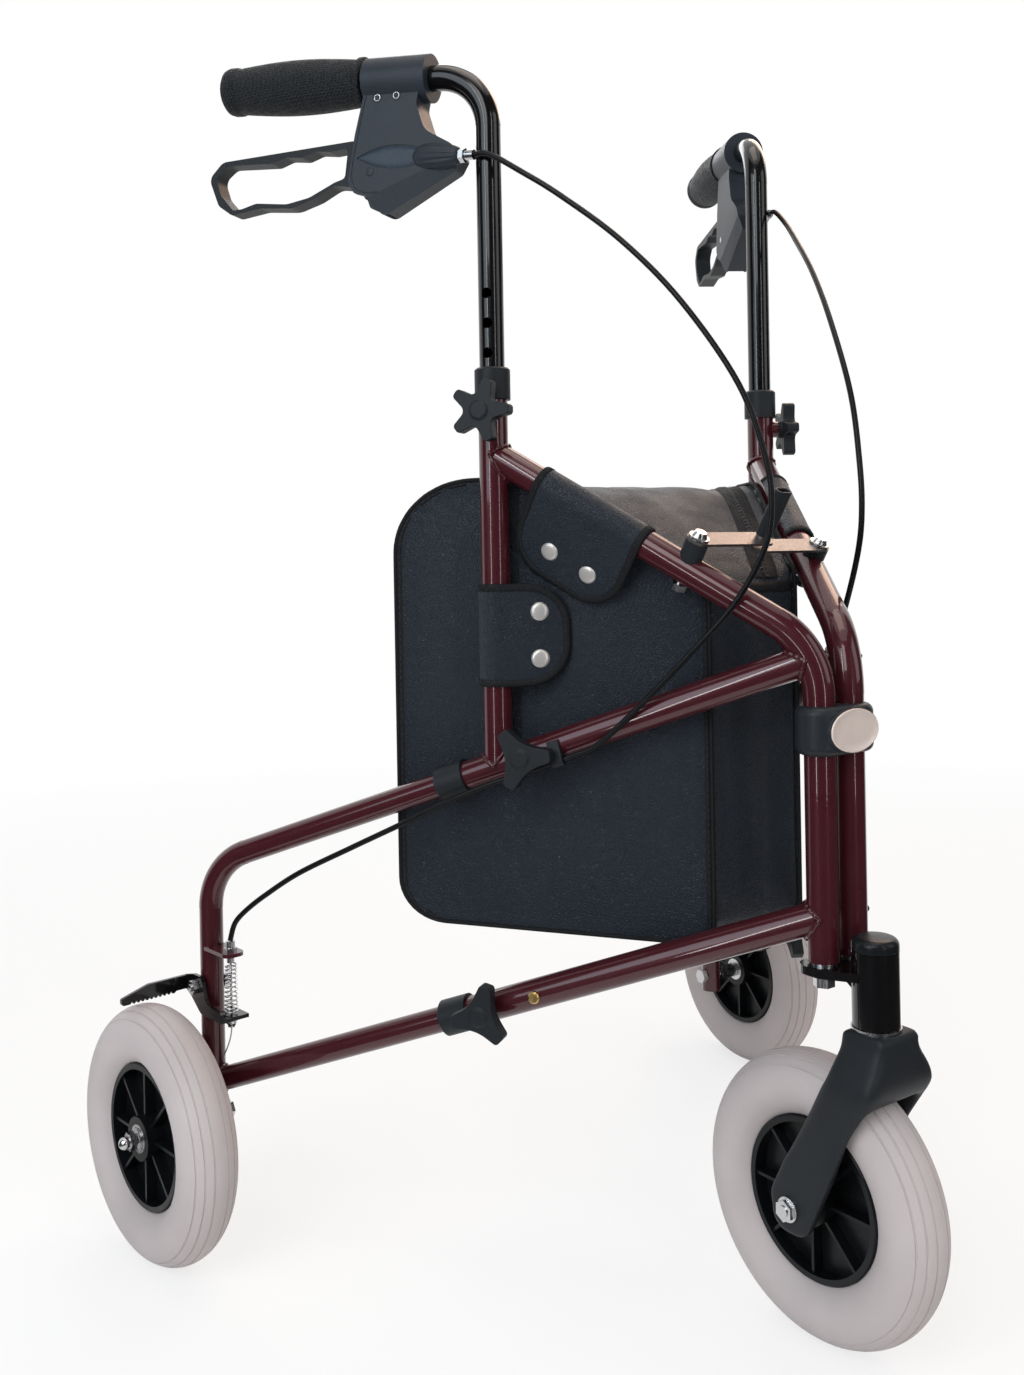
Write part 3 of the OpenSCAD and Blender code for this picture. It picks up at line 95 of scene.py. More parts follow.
def inSide(side, p):   # the way back from sidePoint
    x = (-p.x if side == "left" else p.x) * 1000 + walker["postGap"] / 2
    y = p.y * 1000 + midY
    return (x * cos(sideTurn) + y * sin(sideTurn), y * cos(sideTurn) - x * sin(sideTurn),
            p.z * 1000)


def handlePoint(side, x, y, z):   # x along the grip, y outwards, z up from the grip's line
    return sidePoint(side, uprightS + x * cos(handleTurn) - z * sin(handleTurn), y,
                     walker["handleZ"] + x * sin(handleTurn) + z * cos(handleTurn))


def inHandle(side, p):   # the way back from handlePoint
    s, o, z = inSide(side, p)
    s, z = s - uprightS, z - walker["handleZ"]
    return (s * cos(handleTurn) + z * sin(handleTurn), o,
            z * cos(handleTurn) - s * sin(handleTurn))


def axlePoint(side, x, y, z):   # x back, y out along the axle
    return sidePoint(side, walker["legS"] + x * cos(wheelTurn) - y * sin(wheelTurn),
                     x * sin(wheelTurn) + y * cos(wheelTurn), z)


def fade(value, start, end):   # from 0 at start to 1 at end
    return min(1, max(0, (value - start) / (end - start)))


# materials

def shader(mat):
    return mat.node_tree.nodes["Principled BSDF"]


def newMat(name, colour, rough, sockets={}):
    mat = bpy.data.materials.new(name)
    mat.use_nodes = True
    for key, value in {"Base Color": (*colour, 1), "Roughness": rough, **sockets}.items():
        shader(mat).inputs[key].default_value = value
    return mat


def addNode(owner, kind, **values):   # in a material or the world
    node = owner.node_tree.nodes.new(kind)
    for key, value in values.items():
        if key in node.inputs:
            node.inputs[key].default_value = value
        else:
            setattr(node, key, value)
    return node


def join(owner, a, b):
    owner.node_tree.links.new(a, b)


def place(mat, stretch=(1, 1, 1)):   # metres in the row frame
    mapping = addNode(mat, "ShaderNodeMapping", Scale=stretch)
    join(mat, addNode(mat, "ShaderNodeTexCoord").outputs["Object"], mapping.inputs["Vector"])
    return mapping.outputs["Vector"]


def ramp(mat, value, low, high, a=0, b=1):
    node = addNode(mat, "ShaderNodeMapRange", **{"From Min": low, "From Max": high, "To Min": a, "To Max": b})
    join(mat, value, node.inputs["Value"])
    return node.outputs["Result"]


def pattern(kind, output, stretch, span, **values):   # a maker of one texture, for any finish
    def make(mat):
        node = addNode(mat, kind, **values)
        join(mat, place(mat, stretch), node.inputs["Vector"])
        return ramp(mat, node.outputs[output], *span) if span else node.outputs[output]
    return make


def clouds(scale, detail=3, rough=0.5, stretch=(1, 1, 1), span=()):
    return pattern("ShaderNodeTexNoise", "Fac", stretch, span, Scale=scale, Detail=detail, Roughness=rough)


def cells(scale, feature="F1", jitter=1, span=()):
    return pattern("ShaderNodeTexVoronoi", "Distance", (1, 1, 1), span, Scale=scale, Randomness=jitter, feature=feature)


def makeFinish(name, colour, rough, sockets={}, tones=(), gloss=(), bumps=()):
    mat = newMat(name, colour, rough, sockets)
    if tones:   # a pattern and the two colours that it mixes
        mix = addNode(mat, "ShaderNodeMix", data_type="RGBA")
        join(mat, tones[0](mat), mix.inputs["Factor"])
        mix.inputs[6].default_value, mix.inputs[7].default_value = (*tones[1], 1), (*tones[2], 1)
        join(mat, mix.outputs[2], shader(mat).inputs["Base Color"])
    if gloss:   # a pattern, the least and the most roughness
        join(mat, ramp(mat, gloss[0](mat), 0.3, 0.7, *gloss[1:]), shader(mat).inputs["Roughness"])
    last = None
    for height, strength, depth in bumps:   # each on top of the one before
        node = addNode(mat, "ShaderNodeBump", Strength=strength, Distance=depth)
        join(mat, height(mat), node.inputs["Height"])
        if last:
            join(mat, last.outputs["Normal"], node.inputs["Normal"])
        join(mat, node.outputs["Normal"], shader(mat).inputs["Normal"])
        last = node
    return mat


def blackPlastic(name, rough, grain, depth=1, tone=(1, 1, 1)):   # depth lightens it, tone tints it
    deep, pale = (tuple(c * depth * t for c, t in zip(colour, tone))
                  for colour in ((0.0095, 0.0118, 0.0145), (0.0155, 0.0185, 0.022)))
    fine = clouds(grain, 4, 0.6)
    return makeFinish(name, (0.012, 0.0125, 0.014), rough, {"Specular IOR Level": 0.22}, (clouds(24), deep, pale),
                      (fine, rough - 0.07, rough + 0.08), [(fine, 0.22 * min(depth, 1), 0.0005)])


def plainMetal(name, colour, rough, brush=600, metallic=1):
    streak = clouds(brush, stretch=(1, 1, 0.08))
    return makeFinish(name, colour, rough, {"Metallic": metallic},
                      (clouds(40), colour, tuple(c * 0.8 for c in colour)),
                      (streak, rough - 0.07, rough + 0.10), [(streak, 0.05, 0.0002)])


dimple, weave, fineFoam = cells(520, "F1", 0.25), cells(1300, "F1", 0.15), clouds(900)
finish = {
    "frame_paint": makeFinish(   # flakes under a coat, with slight orange peel
        "burgundyPaint", (0.075, 0.009, 0.014), 0.3,
        {"Metallic": 0.2, "Specular IOR Level": 0.2, "Coat Weight": 0.8, "Coat Roughness": 0.05},
        (cells(3500, span=(0.1, 0.6)), (0.085, 0.012, 0.018), (0.045, 0.006, 0.010)),
        (clouds(60), 0.26, 0.36), [(clouds(420, 2), 0.02, 0.0004)]),
    "black_paint": makeFinish(
        "blackPaint", (0.003, 0.003, 0.0035), 0.22,
        {"Specular IOR Level": 0.2, "Coat Weight": 0.6, "Coat Roughness": 0.05}, (),
        (clouds(45), 0.17, 0.28), [(clouds(500, 2), 0.02, 0.0003)]),
    "grip_rubber": makeFinish(
        "gripRubber", (0.010, 0.010, 0.011), 0.6, {"Specular IOR Level": 0.22},
        # the colour darkens towards the middle of each dimple: painted shade in the hollows
        (cells(520, "F1", 0.25, (0.2, 0.6)), (0.0065, 0.008, 0.010), (0.014, 0.0165, 0.020)),
        (clouds(200), 0.5, 0.68), [(dimple, 0.9, 0.0016)]),
    "pouch_vinyl": makeFinish(   # slight waves, leather grain and pores
        "coatedVinyl", (0.010, 0.013, 0.020), 0.46, {"Specular IOR Level": 0.25, "Sheen Weight": 0.06},
        (clouds(16, 4), (0.0075, 0.0115, 0.018), (0.0125, 0.0185, 0.028)), (clouds(50), 0.33, 0.5),
        [(clouds(28, 4), 0.25, 0.004), (cells(520, "DISTANCE_TO_EDGE", span=(0, 0.18)), 0.55, 0.0008),
         (cells(1500), 0.10, 0.0003)]),
    "tyre": makeFinish(
        "paleTyre", (0.56, 0.49, 0.48), 0.72, {},
        (clouds(11, 5, span=(0.3, 0.7)), (0.50, 0.45, 0.445), (0.42, 0.375, 0.372)),
        (fineFoam, 0.62, 0.82), [(fineFoam, 0.12, 0.0004)]),
    "cable_jacket": makeFinish(
        "cableJacket", (0.004, 0.004, 0.005), 0.3, {"Specular IOR Level": 0.2}, (),
        (clouds(150), 0.26, 0.42), [(clouds(300, 2), 0.03, 0.0002)]),
    "black_plastic": blackPlastic("blackPlastic", 0.48, 900),
    "steel": plainMetal("brightSteel", (0.62, 0.62, 0.63), 0.24),
    "spring_steel": plainMetal("springSteel", (0.6, 0.6, 0.61), 0.2),
    "zinc_steel": plainMetal("zincPlate", (0.235, 0.22, 0.215), 0.42),
    "badge_metal": plainMetal("badgePlate", (0.80, 0.68, 0.62), 0.42, 600, 0.3),
    "brass": plainMetal("wornBrass", (0.62, 0.43, 0.17), 0.32)}
threadMat = makeFinish("sewingThread", (0.013, 0.014, 0.018), 0.8, {},
                       (clouds(900), (0.010, 0.011, 0.014), (0.02, 0.021, 0.026)))
tapeMat = makeFinish("wovenTape", (0.008, 0.0085, 0.010), 0.75, {"Specular IOR Level": 0.2},
                     (cells(1300, "F1", 0.15, (0.1, 0.7)), (0.014, 0.015, 0.017), (0.005, 0.0055, 0.007)),
                     (clouds(120), 0.62, 0.85), [(weave, 0.5, 0.0005)])
snapMat = plainMetal("nickelSnap", (0.74, 0.71, 0.68), 0.36, 300, 0.65)
coilMat = blackPlastic("zipCoil", 0.4, 1200)
# lighter, bluish copy of the black plastic: a painted sheen on the brake housings and their trim
housingSheenMat = blackPlastic("housingPlastic", 0.44, 800, 1.7, (1, 1.06, 1.16))
# glossier, lighter and bluer copy of the black plastic for the lens inlay: its bluish colour is a painted sheen
lensSheenMat = blackPlastic("lensPlastic", 0.3, 500, 1.8, (1, 1.25, 1.5))
# darker, glossier copy of the black plastic for the rims: partly their glossier plastic, partly painted shade where
# they sit deep in the tyres
rimGlossShadeMat = blackPlastic("rimPlastic", 0.34, 700, 0.35)
clampMat = blackPlastic("clampPlastic", 0.4, 700, 1.25)
capMat = blackPlastic("capPlastic", 0.3, 500, 0.5)
for node, slot in slotOf.items():
    cadNodes[node].data.materials.clear()
    cadNodes[node].data.materials.append(finish[slot])
print("materials set:", len(bpy.data.materials))


# mesh helpers

def newObject(name, data):
    obj = bpy.data.objects.new(name, data)
    scene.collection.objects.link(obj)
    return obj


def shade(obj, smooth=True):
    obj.data.polygons.foreach_set("use_smooth", [smooth] * len(obj.data.polygons))


def addPiece(name, verts, faces, mat, body, slotName):
    mesh = bpy.data.meshes.new(name)
    mesh.from_pydata([tuple(v) for v in verts], [], faces)
    mesh.validate()
    mesh.update()
    obj = newObject(name, mesh)
    mesh.materials.append(mat)
    shade(obj)
    if body:
        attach(obj, body)
    return obj


def standFor(obj, node):   # takes a node's body and hides the node
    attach(obj, bodyOf[node])
    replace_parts(obj, node)


def settle(obj):   # what the modifiers make becomes the mesh
    bpy.context.view_layer.update()
    old = obj.data
    mesh = bpy.data.meshes.new_from_object(obj.evaluated_get(bpy.context.evaluated_depsgraph_get()))
    obj.modifiers.clear()
    obj.data = mesh
    bpy.data.meshes.remove(old)


def turns(n):   # n angles round a circle
    return [2 * pi * k / n for k in range(n)]


def stripFaces(rows, n, closed=False, around=False):   # between rows of n points
    return [(i * n + k, i * n + (k + 1) % n, (i + 1) % rows * n + (k + 1) % n, (i + 1) % rows * n + k)
            for i in range(rows if closed else rows - 1) for k in range(n if around else n - 1)]


def ringFaces(rings, n, closed=False):
    return stripFaces(rings, n, closed, around=True)


def endFaces(rings, n):   # over the first and the last ring
    return [tuple(reversed(range(n))), tuple(range((rings - 1) * n, rings * n))]


def tubeMesh(path, radius, around=10, closed=False):   # radius is a number or a list
    n = len(path)
    radii = radius if isinstance(radius, list) else [radius] * n
    verts = []
    up = None
    for i, p in enumerate(path):
        a = path[i - 1] if (i > 0 or closed) else p
        b = path[(i + 1) % n] if (i < n - 1 or closed) else p
        t = (b - a).normalized()
        if up is None:
            up = Vector((0, 0, 1)) if abs(t.z) < 0.9 else Vector((1, 0, 0))
        up = (up - t * up.dot(t)).normalized()
        over = t.cross(up)
        verts += [p + radii[i] * (up * cos(c) + over * sin(c)) for c in turns(around)]
    return verts, ringFaces(n, around, closed) + ([] if closed else endFaces(n, around))


def smoothPath(points, steps):   # curve through the points, as the solids have it
    out = []
    last = len(points) - 1
    for i in range(last):
        a, b, c, d = points[max(i - 1, 0)], points[i], points[i + 1], points[min(i + 2, last)]
        for k in range(steps):
            t = k / steps
            out.append(0.5 * (2 * b + (c - a) * t + (2 * a - 5 * b + 4 * c - d) * t * t
                              + (3 * b - a - 3 * c + d) * t ** 3))
    return out + [points[last]]


def pathLength(path):
    return sum((b - a).length for a, b in zip(path, path[1:]))


def evenPoints(line, step, closed=False):   # points along a line at even spacing
    line = list(line) + ([line[0]] if closed else [])
    total = pathLength(line)
    count = max(2, int(total / step))
    out, walked, i = [], 0, 0
    for k in range(count if closed else count + 1):
        goal = total * k / count
        while i < len(line) - 2 and walked + (line[i + 1] - line[i]).length < goal:
            walked += (line[i + 1] - line[i]).length
            i += 1
        span = max((line[i + 1] - line[i]).length, 1e-9)
        out.append(line[i].lerp(line[i + 1], (goal - walked) / span))
    return out


def roundedOutline(points, steps):   # points are (x, y, radius)
    out = []
    for i, (x, y, r) in enumerate(points):
        p = Vector((x, y))
        u = (Vector(points[i - 1][:2]) - p).normalized()
        v = (Vector(points[(i + 1) % len(points)][:2]) - p).normalized()
        half = acos(max(-1, min(1, u.dot(v)))) / 2
        middle = p + (u + v).normalized() * r / sin(half)
        t = r / tan(half)
        a, b = p + u * t - middle, p + v * t - middle
        start = atan2(a.y, a.x)
        turn = (atan2(b.y, b.x) - start + pi) % (2 * pi) - pi
        for k in range(steps + 1):
            c = start + turn * k / steps
            out.append(middle + r * Vector((cos(c), sin(c))))
    return out


class Trim:   # gathers small pieces into one mesh with several materials
    def __init__(self, name, mats):
        self.name, self.mats, self.verts, self.faces, self.kinds = name, mats, [], [], []

    def add(self, verts, faces, kind=0, flip=False):
        base = len(self.verts)
        self.verts += [Vector(v) for v in verts]
        self.faces += [tuple(base + i for i in (reversed(f) if flip else f)) for f in faces]
        self.kinds += [kind] * len(faces)

    def addRings(self, verts, n, kind=0, flip=False):   # rings of n points, closed at both ends
        rings = len(verts) // n
        self.add(verts, ringFaces(rings, n) + endFaces(rings, n), kind, flip)

    def build(self, body, slotName):
        obj = addPiece(self.name, self.verts, self.faces, self.mats[0], body, slotName)
        for mat in self.mats[1:]:
            obj.data.materials.append(mat)
        obj.data.polygons.foreach_set("material_index", self.kinds)
        return obj


stitch = {"length": 3.2, "gap": 1.8, "width": 0.7, "profile": ((0, 0.25), (0.25, 1.25), (0.75, 1.25), (1, 0.25))}


def stitchRow(trim, path, normals, kind, share=1):   # short raised dashes along a path
    length, gap, width = stitch["length"] / 1000 * share, stitch["gap"] / 1000, stitch["width"] / 1000 * share
    walked = nextAt = 0
    for a, b, n in zip(path, path[1:], normals):
        span = (b - a).length
        while nextAt + length <= walked + span:
            p, q = a.lerp(b, max(0, (nextAt - walked) / span)), a.lerp(b, (nextAt + length - walked) / span)
            over = n.cross((q - p).normalized()).normalized() * width / 2
            rise = n * width * 0.55
            dash = []
            for t, high in stitch["profile"]:
                m = p.lerp(q, t)
                dash += [m - over, m + rise * high, m + over]
            trim.add(dash, stripFaces(4, 3), kind, flip=True)
            nextAt += length + gap
        walked += span


# moulded pieces: the solids with their sharp edges rounded over

softEdges = {"post_clamp": 1.2, "stem_cap": 0.8, "brace_handle": 0.8, "{side}_brake_housing": 1.3,
             "{side}_brake_lever": 1.6, "{side}_star_knob": 1.3, "{side}_mid_knob": 1.4, "{side}_low_knob": 1.4,
             "{side}_collars": 0.6, "{side}_rim": 0.7, "front_rim": 0.7}
# own plastics for some moulded pieces; the housings carry a painted sheen and the rims partly painted shade
plasticAndPaintedLight = {"stem_cap": capMat, "front_rim": rimGlossShadeMat, "right_rim": rimGlossShadeMat, "left_rim": rimGlossShadeMat,
              "right_brake_housing": housingSheenMat, "left_brake_housing": housingSheenMat, "post_clamp": clampMat}
housingShape = {"blockLine": ((84, -89), (15, -61)), "slope": 0.46, "half": 12, "slotWall": 9.2, "slotFrom": 64,
                "leastWall": 4, "reach": 90, "near": 0.2}
pullShape = {"share": 0.82, "way": (0, -0.53, 0.848)}
forkShape = {"skin": 1.6, "rounds": 18, "crownRounds": 108, "crownFoot": (135, 165), "crownTop": (227, 217)}


def slopeHousing(bm, side):   # the lower block of a brake housing falls away from its face plate
    h = housingShape
    (x0, z0), (x1, z1) = h["blockLine"]
    spot, out = handlePoint(side, x0, 0, z0), handlePoint(side, x0, 10, z0)
    normal = (handlePoint(side, x1, 0, z1) - spot).cross(out - spot).normalized()
    bmesh.ops.bisect_plane(bm, geom=bm.verts[:] + bm.edges[:] + bm.faces[:], dist=1e-6, plane_co=spot, plane_no=normal)
    for v in bm.verts:
        x, o, z = inHandle(side, v.co)
        drop = z0 + (z1 - z0) * (x - x0) / (x1 - x0) - z
        if abs(abs(o) - h["half"]) < h["near"] and drop > h["near"] and x < h["reach"]:
            least = h["slotWall"] if x > h["slotFrom"] else h["leastWall"]
            v.co = handlePoint(side, x, copysign(max(h["half"] - h["slope"] * drop, least), o), z)


def shrinkPull(bm):   # the pull handle is a slim sleeve
    way = Vector(pullShape["way"])
    low = min(v.co.dot(way) for v in bm.verts)
    foot = [v.co for v in bm.verts if v.co.dot(way) < low + 0.001]
    middle = sum(foot, Vector()) / len(foot)
    for v in bm.verts:
        v.co = middle + (v.co - middle) * pullShape["share"]


def soften(node, width):
    mesh = bpy.data.meshes.new(node)
    bm = bmesh.new()
    bm.from_mesh(cadNodes[node].data)
    bmesh.ops.remove_doubles(bm, verts=bm.verts, dist=2e-6)
    bmesh.ops.dissolve_limit(bm, angle_limit=radians(0.6), verts=bm.verts, edges=bm.edges)
    words = node.split("_")
    if node.endswith("brake_housing"):
        slopeHousing(bm, words[0])
    if node == "brace_handle":
        shrinkPull(bm)
    bm.to_mesh(mesh)
    bm.free()
    obj = newObject(words[0] + "".join(w.capitalize() for w in words[1:]), mesh)
    mesh.materials.append(plasticAndPaintedLight.get(node, finish[slotOf[node]]))
    edge = obj.modifiers.new("edge", "BEVEL")
    edge.width, edge.segments, edge.limit_method = width / 1000, 3, "ANGLE"
    edge.angle_limit = radians(40)
    edge.use_clamp_overlap = True
    edge.miter_outer = "MITER_ARC"
    settle(obj)
    shade(obj)
    even = obj.modifiers.new("even", "WEIGHTED_NORMAL")
    even.keep_sharp = False
    settle(obj)
    standFor(obj, node)


def meltFork():   # a thick moulding without hard edges
    mesh = cadNodes["fork"].data.copy()
    obj = newObject("forkMoulding", mesh)
    mesh.materials.clear()
    mesh.materials.append(finish[slotOf["fork"]])
    skin = obj.modifiers.new("skin", "REMESH")
    skin.mode, skin.voxel_size = "VOXEL", forkShape["skin"] / 1000
    settle(obj)
    crown = obj.vertex_groups.new(name="crown")   # rounder between the arms and the neck
    for v in obj.data.vertices:
        z = v.co.z * 1000
        crown.add([v.index], fade(z, *forkShape["crownFoot"]) * fade(z, *forkShape["crownTop"]), "REPLACE")
    for group, count in (("", forkShape["rounds"]), ("crown", forkShape["crownRounds"])):
        smooth = obj.modifiers.new("smooth" + group, "SMOOTH")
        smooth.factor, smooth.iterations, smooth.vertex_group = 0.5, count, group
    settle(obj)
    shade(obj)
    standFor(obj, "fork")


meltFork()
for key, width in softEdges.items():
    for node in sorted({key.format(side=side) for side in sides}):
        soften(node, width)
print("moulded pieces softened")


# brake cables: the routes of the solids, (back, out, up)

cableRoutes = {
    "diameter": 4.3, "bendFrom": (60, 18, 520), "bendTo": (235, 15, 853),
    "upper": [(244, 13, 854), (231, 15, 852), (206, 17, 836), (176, 17, 815), (131, 18, 778), (88, 19, 731),
              (48, 21, 670), (30, 21, 617), (27, 21, 583), (33, 20, 555), (54, 18, 519), (86, 17, 484),
              (124, 15, 446), (156, 14, 417), (174, 13, 409), (181.79, 13, 405.59)],
    "lower": [(182.07, 13, 405.49), (190.55, 13, 402.47), (203.27, 13, 397.94), (240, 14, 385), (275, 15, 370),
              (314, 15, 351), (358, 14, 330), (403, 14, 308), (433, 14, 289), (452.5, 13.9, 274.5),
              (463.5, 13.7, 263), (468.27, 13.62, 249)]}

for side in sides:
    for key in ("upper", "lower"):
        path = smoothPath([sidePoint(side, *p) for p in cableRoutes[key]], 8)
        name = f"{side}Cable{key.capitalize()}"
        cable = addPiece(name, *tubeMesh(path, cableRoutes["diameter"] / 2000, 16), finish["cable_jacket"],
                         None if key == "upper" else f"{side}_side", "cable_jacket")
        if key == "upper":   # on no body, its mesh kept in the row frame
            sidePoint(side, *cableRoutes["bendFrom"])
            sidePoint(side, *cableRoutes["bendTo"])
            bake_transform(cable)
        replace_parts(cable, f"{side}_cable_{key}")
        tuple(path[0])
        pathLength(path)
        print(name, "length", round(pathLength(path), 4))


# brake trim: fluted nose, inlaid lens, plate line, screw sockets and pin caps

brakeTrim = {"face": 12, "flutes": 15, "fluteDepth": 0.42, "noseRun": (0.982, -0.1556, 0.1045),
             "nose": ((12.6, 5.2), (14, 6.3), (18, 7.5), (24, 9.0), (30, 10.0), (36, 10.6), (42, 10.6), (47, 9.6),
                      (52, 6.6)),   # distance from the cable's end and radius
             "lens": (67, -61.5, 32.9, 64.3, 55.7), "lensSink": 0.55, "lensRise": 0.85,
             "line": ((94.6, -14), (96.8, -24), (98.6, -34), (100.2, -44), (102.2, -56), (104, -70), (103.6, -77),
                      (100.4, -83.4), (94, -87), (86, -88.2), (81, -87.4)), "lineR": 0.5,
             "screws": ((85, -16), (69, -15)), "pin": (88, -72),   # below, rings are (radius, height above the face)
             "socket": ((3.9, 0.0), (3.8, 0.3), (3.2, 0.35), (3.0, 0.12), (0.6, 0.12)),
             "screwRing": ((2.9, 0.1), (2.8, 0.5), (2.1, 0.55), (1.9, 0.1), (2.9, 0.1)),
             "pinCap": ((3.4, 0.0), (3.3, 0.25), (2.6, 0.4), (0.6, 0.45))}


def disc(trim, side, x, z, key, kind, n=24):
    rings = brakeTrim[key]
    verts = [handlePoint(side, x + r * cos(a), brakeTrim["face"] + h, z + r * sin(a))
             for r, h in rings for a in turns(n)]
    faces = ringFaces(len(rings), n)
    if rings[-1][0] < rings[0][0]:
        faces += endFaces(len(rings), n)[1:]
    trim.add(verts, faces, kind, flip=side == "right")


def flutedNose(trim, side):
    tip, run = Vector(cableRoutes["upper"][0]), Vector(brakeTrim["noseRun"])
    over = run.cross(Vector((0, 0, 1))).normalized()
    up = over.cross(run)
    n = brakeTrim["flutes"] * 8
    verts = []
    for t, r in brakeTrim["nose"]:
        depth = brakeTrim["fluteDepth"] * fade(t, 13, 17) * fade(t, 44, 38)
        for a in turns(n):
            reach = r + depth * cos(brakeTrim["flutes"] * a)
            verts.append(sidePoint(side, *(tip + run * t + reach * (over * cos(a) + up * sin(a)))))
    trim.addRings(verts, n, flip=side == "right")


def inlaidLens(trim, side, columns=32, rows=8):   # pointed oval between two arcs
    midX, midZ, half, r, drop = brakeTrim["lens"]
    verts = []
    for i in range(columns + 1):
        u = -1 + 2 * i / columns
        high = sqrt(r * r - (half * u) ** 2) - drop
        for j in range(rows + 1):
            v = -1 + 2 * j / rows
            rise = brakeTrim["lensRise"] * (1 - v ** 4) * (1 - u ** 4) - brakeTrim["lensSink"]
            verts.append(handlePoint(side, midX + half * u, brakeTrim["face"] + rise, midZ + high * v))
    trim.add(verts, stripFaces(columns + 1, rows + 1), 2, flip=side == "left")


def makeBrakeTrim(side):
    trim = Trim(f"{side}BrakeTrim", [housingSheenMat, finish["steel"], lensSheenMat])
    flutedNose(trim, side)
    inlaidLens(trim, side)
    line = [handlePoint(side, x, brakeTrim["face"] + 0.05, z) for x, z in brakeTrim["line"]]
    trim.add(*tubeMesh(smoothPath(line, 6), brakeTrim["lineR"] / 1000, 8))
    for spot in brakeTrim["screws"]:
        disc(trim, side, *spot, "socket", 0)
        disc(trim, side, *spot, "screwRing", 1)
    disc(trim, side, *brakeTrim["pin"], "pinCap", 0)
    return trim.build(f"{side}_handle", "black_plastic")


for side in sides:
    print(f"{side} brake trim:", len(makeBrakeTrim(side).data.vertices), "points")


# bare oval plate on the post clamp, with a rolled rim and a slightly sunk face, on a moulded pad

badgeOval = {"size": (49, 30), "z": 431, "wall": 6,   # rings are (share of the size, height in front of the clamp)
             "plate": ((1.0, 0.2), (1.0, 1.4), (0.985, 1.8), (0.96, 1.9), (0.93, 1.82), (0.91, 1.55), (0.6, 1.6),
                       (0.25, 1.63)),
             "pad": ((1.03, -6.0), (1.05, -3.0), (1.05, 0.3), (1.035, 0.75), (1.0, 0.9), (0.9, 0.9))}


def makeBadge(n=64):
    trim = Trim("badgeOval", [finish["badge_metal"], clampMat])
    front = -midY - walker["tubeR"] - badgeOval["wall"]
    wide, tall = badgeOval["size"]
    for kind, key in enumerate(("plate", "pad")):
        verts = [Vector((wide / 2 * share * cos(a), front - high,
                         badgeOval["z"] + tall / 2 * share * sin(a))) / 1000
                 for share, high in badgeOval[key] for a in turns(n)]
        trim.addRings(verts, n, kind)
    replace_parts(trim.build(bodyOf["badge"], "badge_metal"), "badge")


makeBadge()
print("badge plate made")


# pouch: a lofted shell, swollen by a cloth run and slackened by soft folds

pouchShape = {"front": 74, "rear": 284, "floor": 271, "top": 614, "nose": 540, "ridge": 178, "off": 14,
              "rounds": (14, 32, 56, 40, 14), "inset": 1.2, "skin": 0.006, "clear": 13.2, "keep": 0.13}
pouchCloth = {"frames": 20, "swell": 0.007, "heldEdge": 9, "heldDepth": 22,
              "settings": {"quality": 6, "mass": 0.25, "tension_stiffness": 12, "compression_stiffness": 6,
                           "bending_stiffness": 0.35, "use_pressure": True, "uniform_pressure_force": 4,
                           "vertex_group_mass": "held"}}
pouchFolds = {"broad": 4.5, "fine": 1.6, "slant": 6, "from": (-16, -38), "frontReach": 20, "rearReach": 16,
              "floorReach": 10, "lidZ": 532, "frontSink": 1.0, "rearSink": 2.5, "lidSink": 5.5}


def pouchHalf(y):   # half width between the side frames, millimetres
    s = (y - pouchShape["off"] * sin(spread)) / cos(spread)
    return walker["postGap"] / 2 + s * sin(spread) - pouchShape["off"] * cos(spread)


def pouchOutline(shrink, step):   # evenly spaced points of the side panel, (y, z)
    p, r = pouchShape, pouchShape["rounds"]
    low, high, front, rear = p["floor"] + shrink, p["top"] - shrink, p["front"] + shrink, p["rear"] - shrink
    corners = [(front, low, max(r[0] - shrink, 3)), (rear, low, r[1] - shrink), (rear, high, r[2] - shrink),
               (p["ridge"] + shrink * 0.3, high, r[3] - shrink),
               (front, p["nose"] - shrink * 0.7, max(r[4] - shrink, 3))]
    return evenPoints(roundedOutline(corners, 12), step, closed=True)


def pouchPoint(side, y, z, inward=0):   # on a side panel, inward towards the middle of the pouch
    x = pouchHalf(y) - inward / cos(spread)
    return Vector((x if side == "left" else -x, y - midY, z)) / 1000


def outOf(side):   # the way a side panel faces
    return Vector((sin(sideTurn) if side == "left" else -sin(sideTurn), cos(sideTurn), 0))


def sideOffset(v):   # how far outwards of the side frames' plane a point lies, millimetres
    return inSide("left" if v.x > 0 else "right", v)[1]


def swellPouch(shell):   # cloth under slight pressure, held along the panels' edges
    rest = [v.co.copy() for v in shell.data.vertices]
    held = shell.vertex_groups.new(name="held")
    edge = pouchOutline(0, 6)
    for v in shell.data.vertices:
        spot = Vector((v.co.y * 1000 + midY, v.co.z * 1000))
        if sideOffset(v.co) > -pouchCloth["heldDepth"]:
            if min((spot - p).length for p in edge) < pouchCloth["heldEdge"]:
                held.add([v.index], 1.0, "REPLACE")
    cloth = shell.modifiers.new("swell", "CLOTH")
    for key, value in pouchCloth["settings"].items():
        setattr(cloth.settings, key, value)
    cloth.settings.effector_weights.gravity = 0
    for k in range(pouchCloth["frames"]):
        scene.frame_set(k + 1)
    settle(shell)
    scene.frame_set(1)
    for v, home in zip(shell.data.vertices, rest):
        move = v.co - home
        if move.length > pouchCloth["swell"]:
            v.co = home + move.normalized() * pouchCloth["swell"]


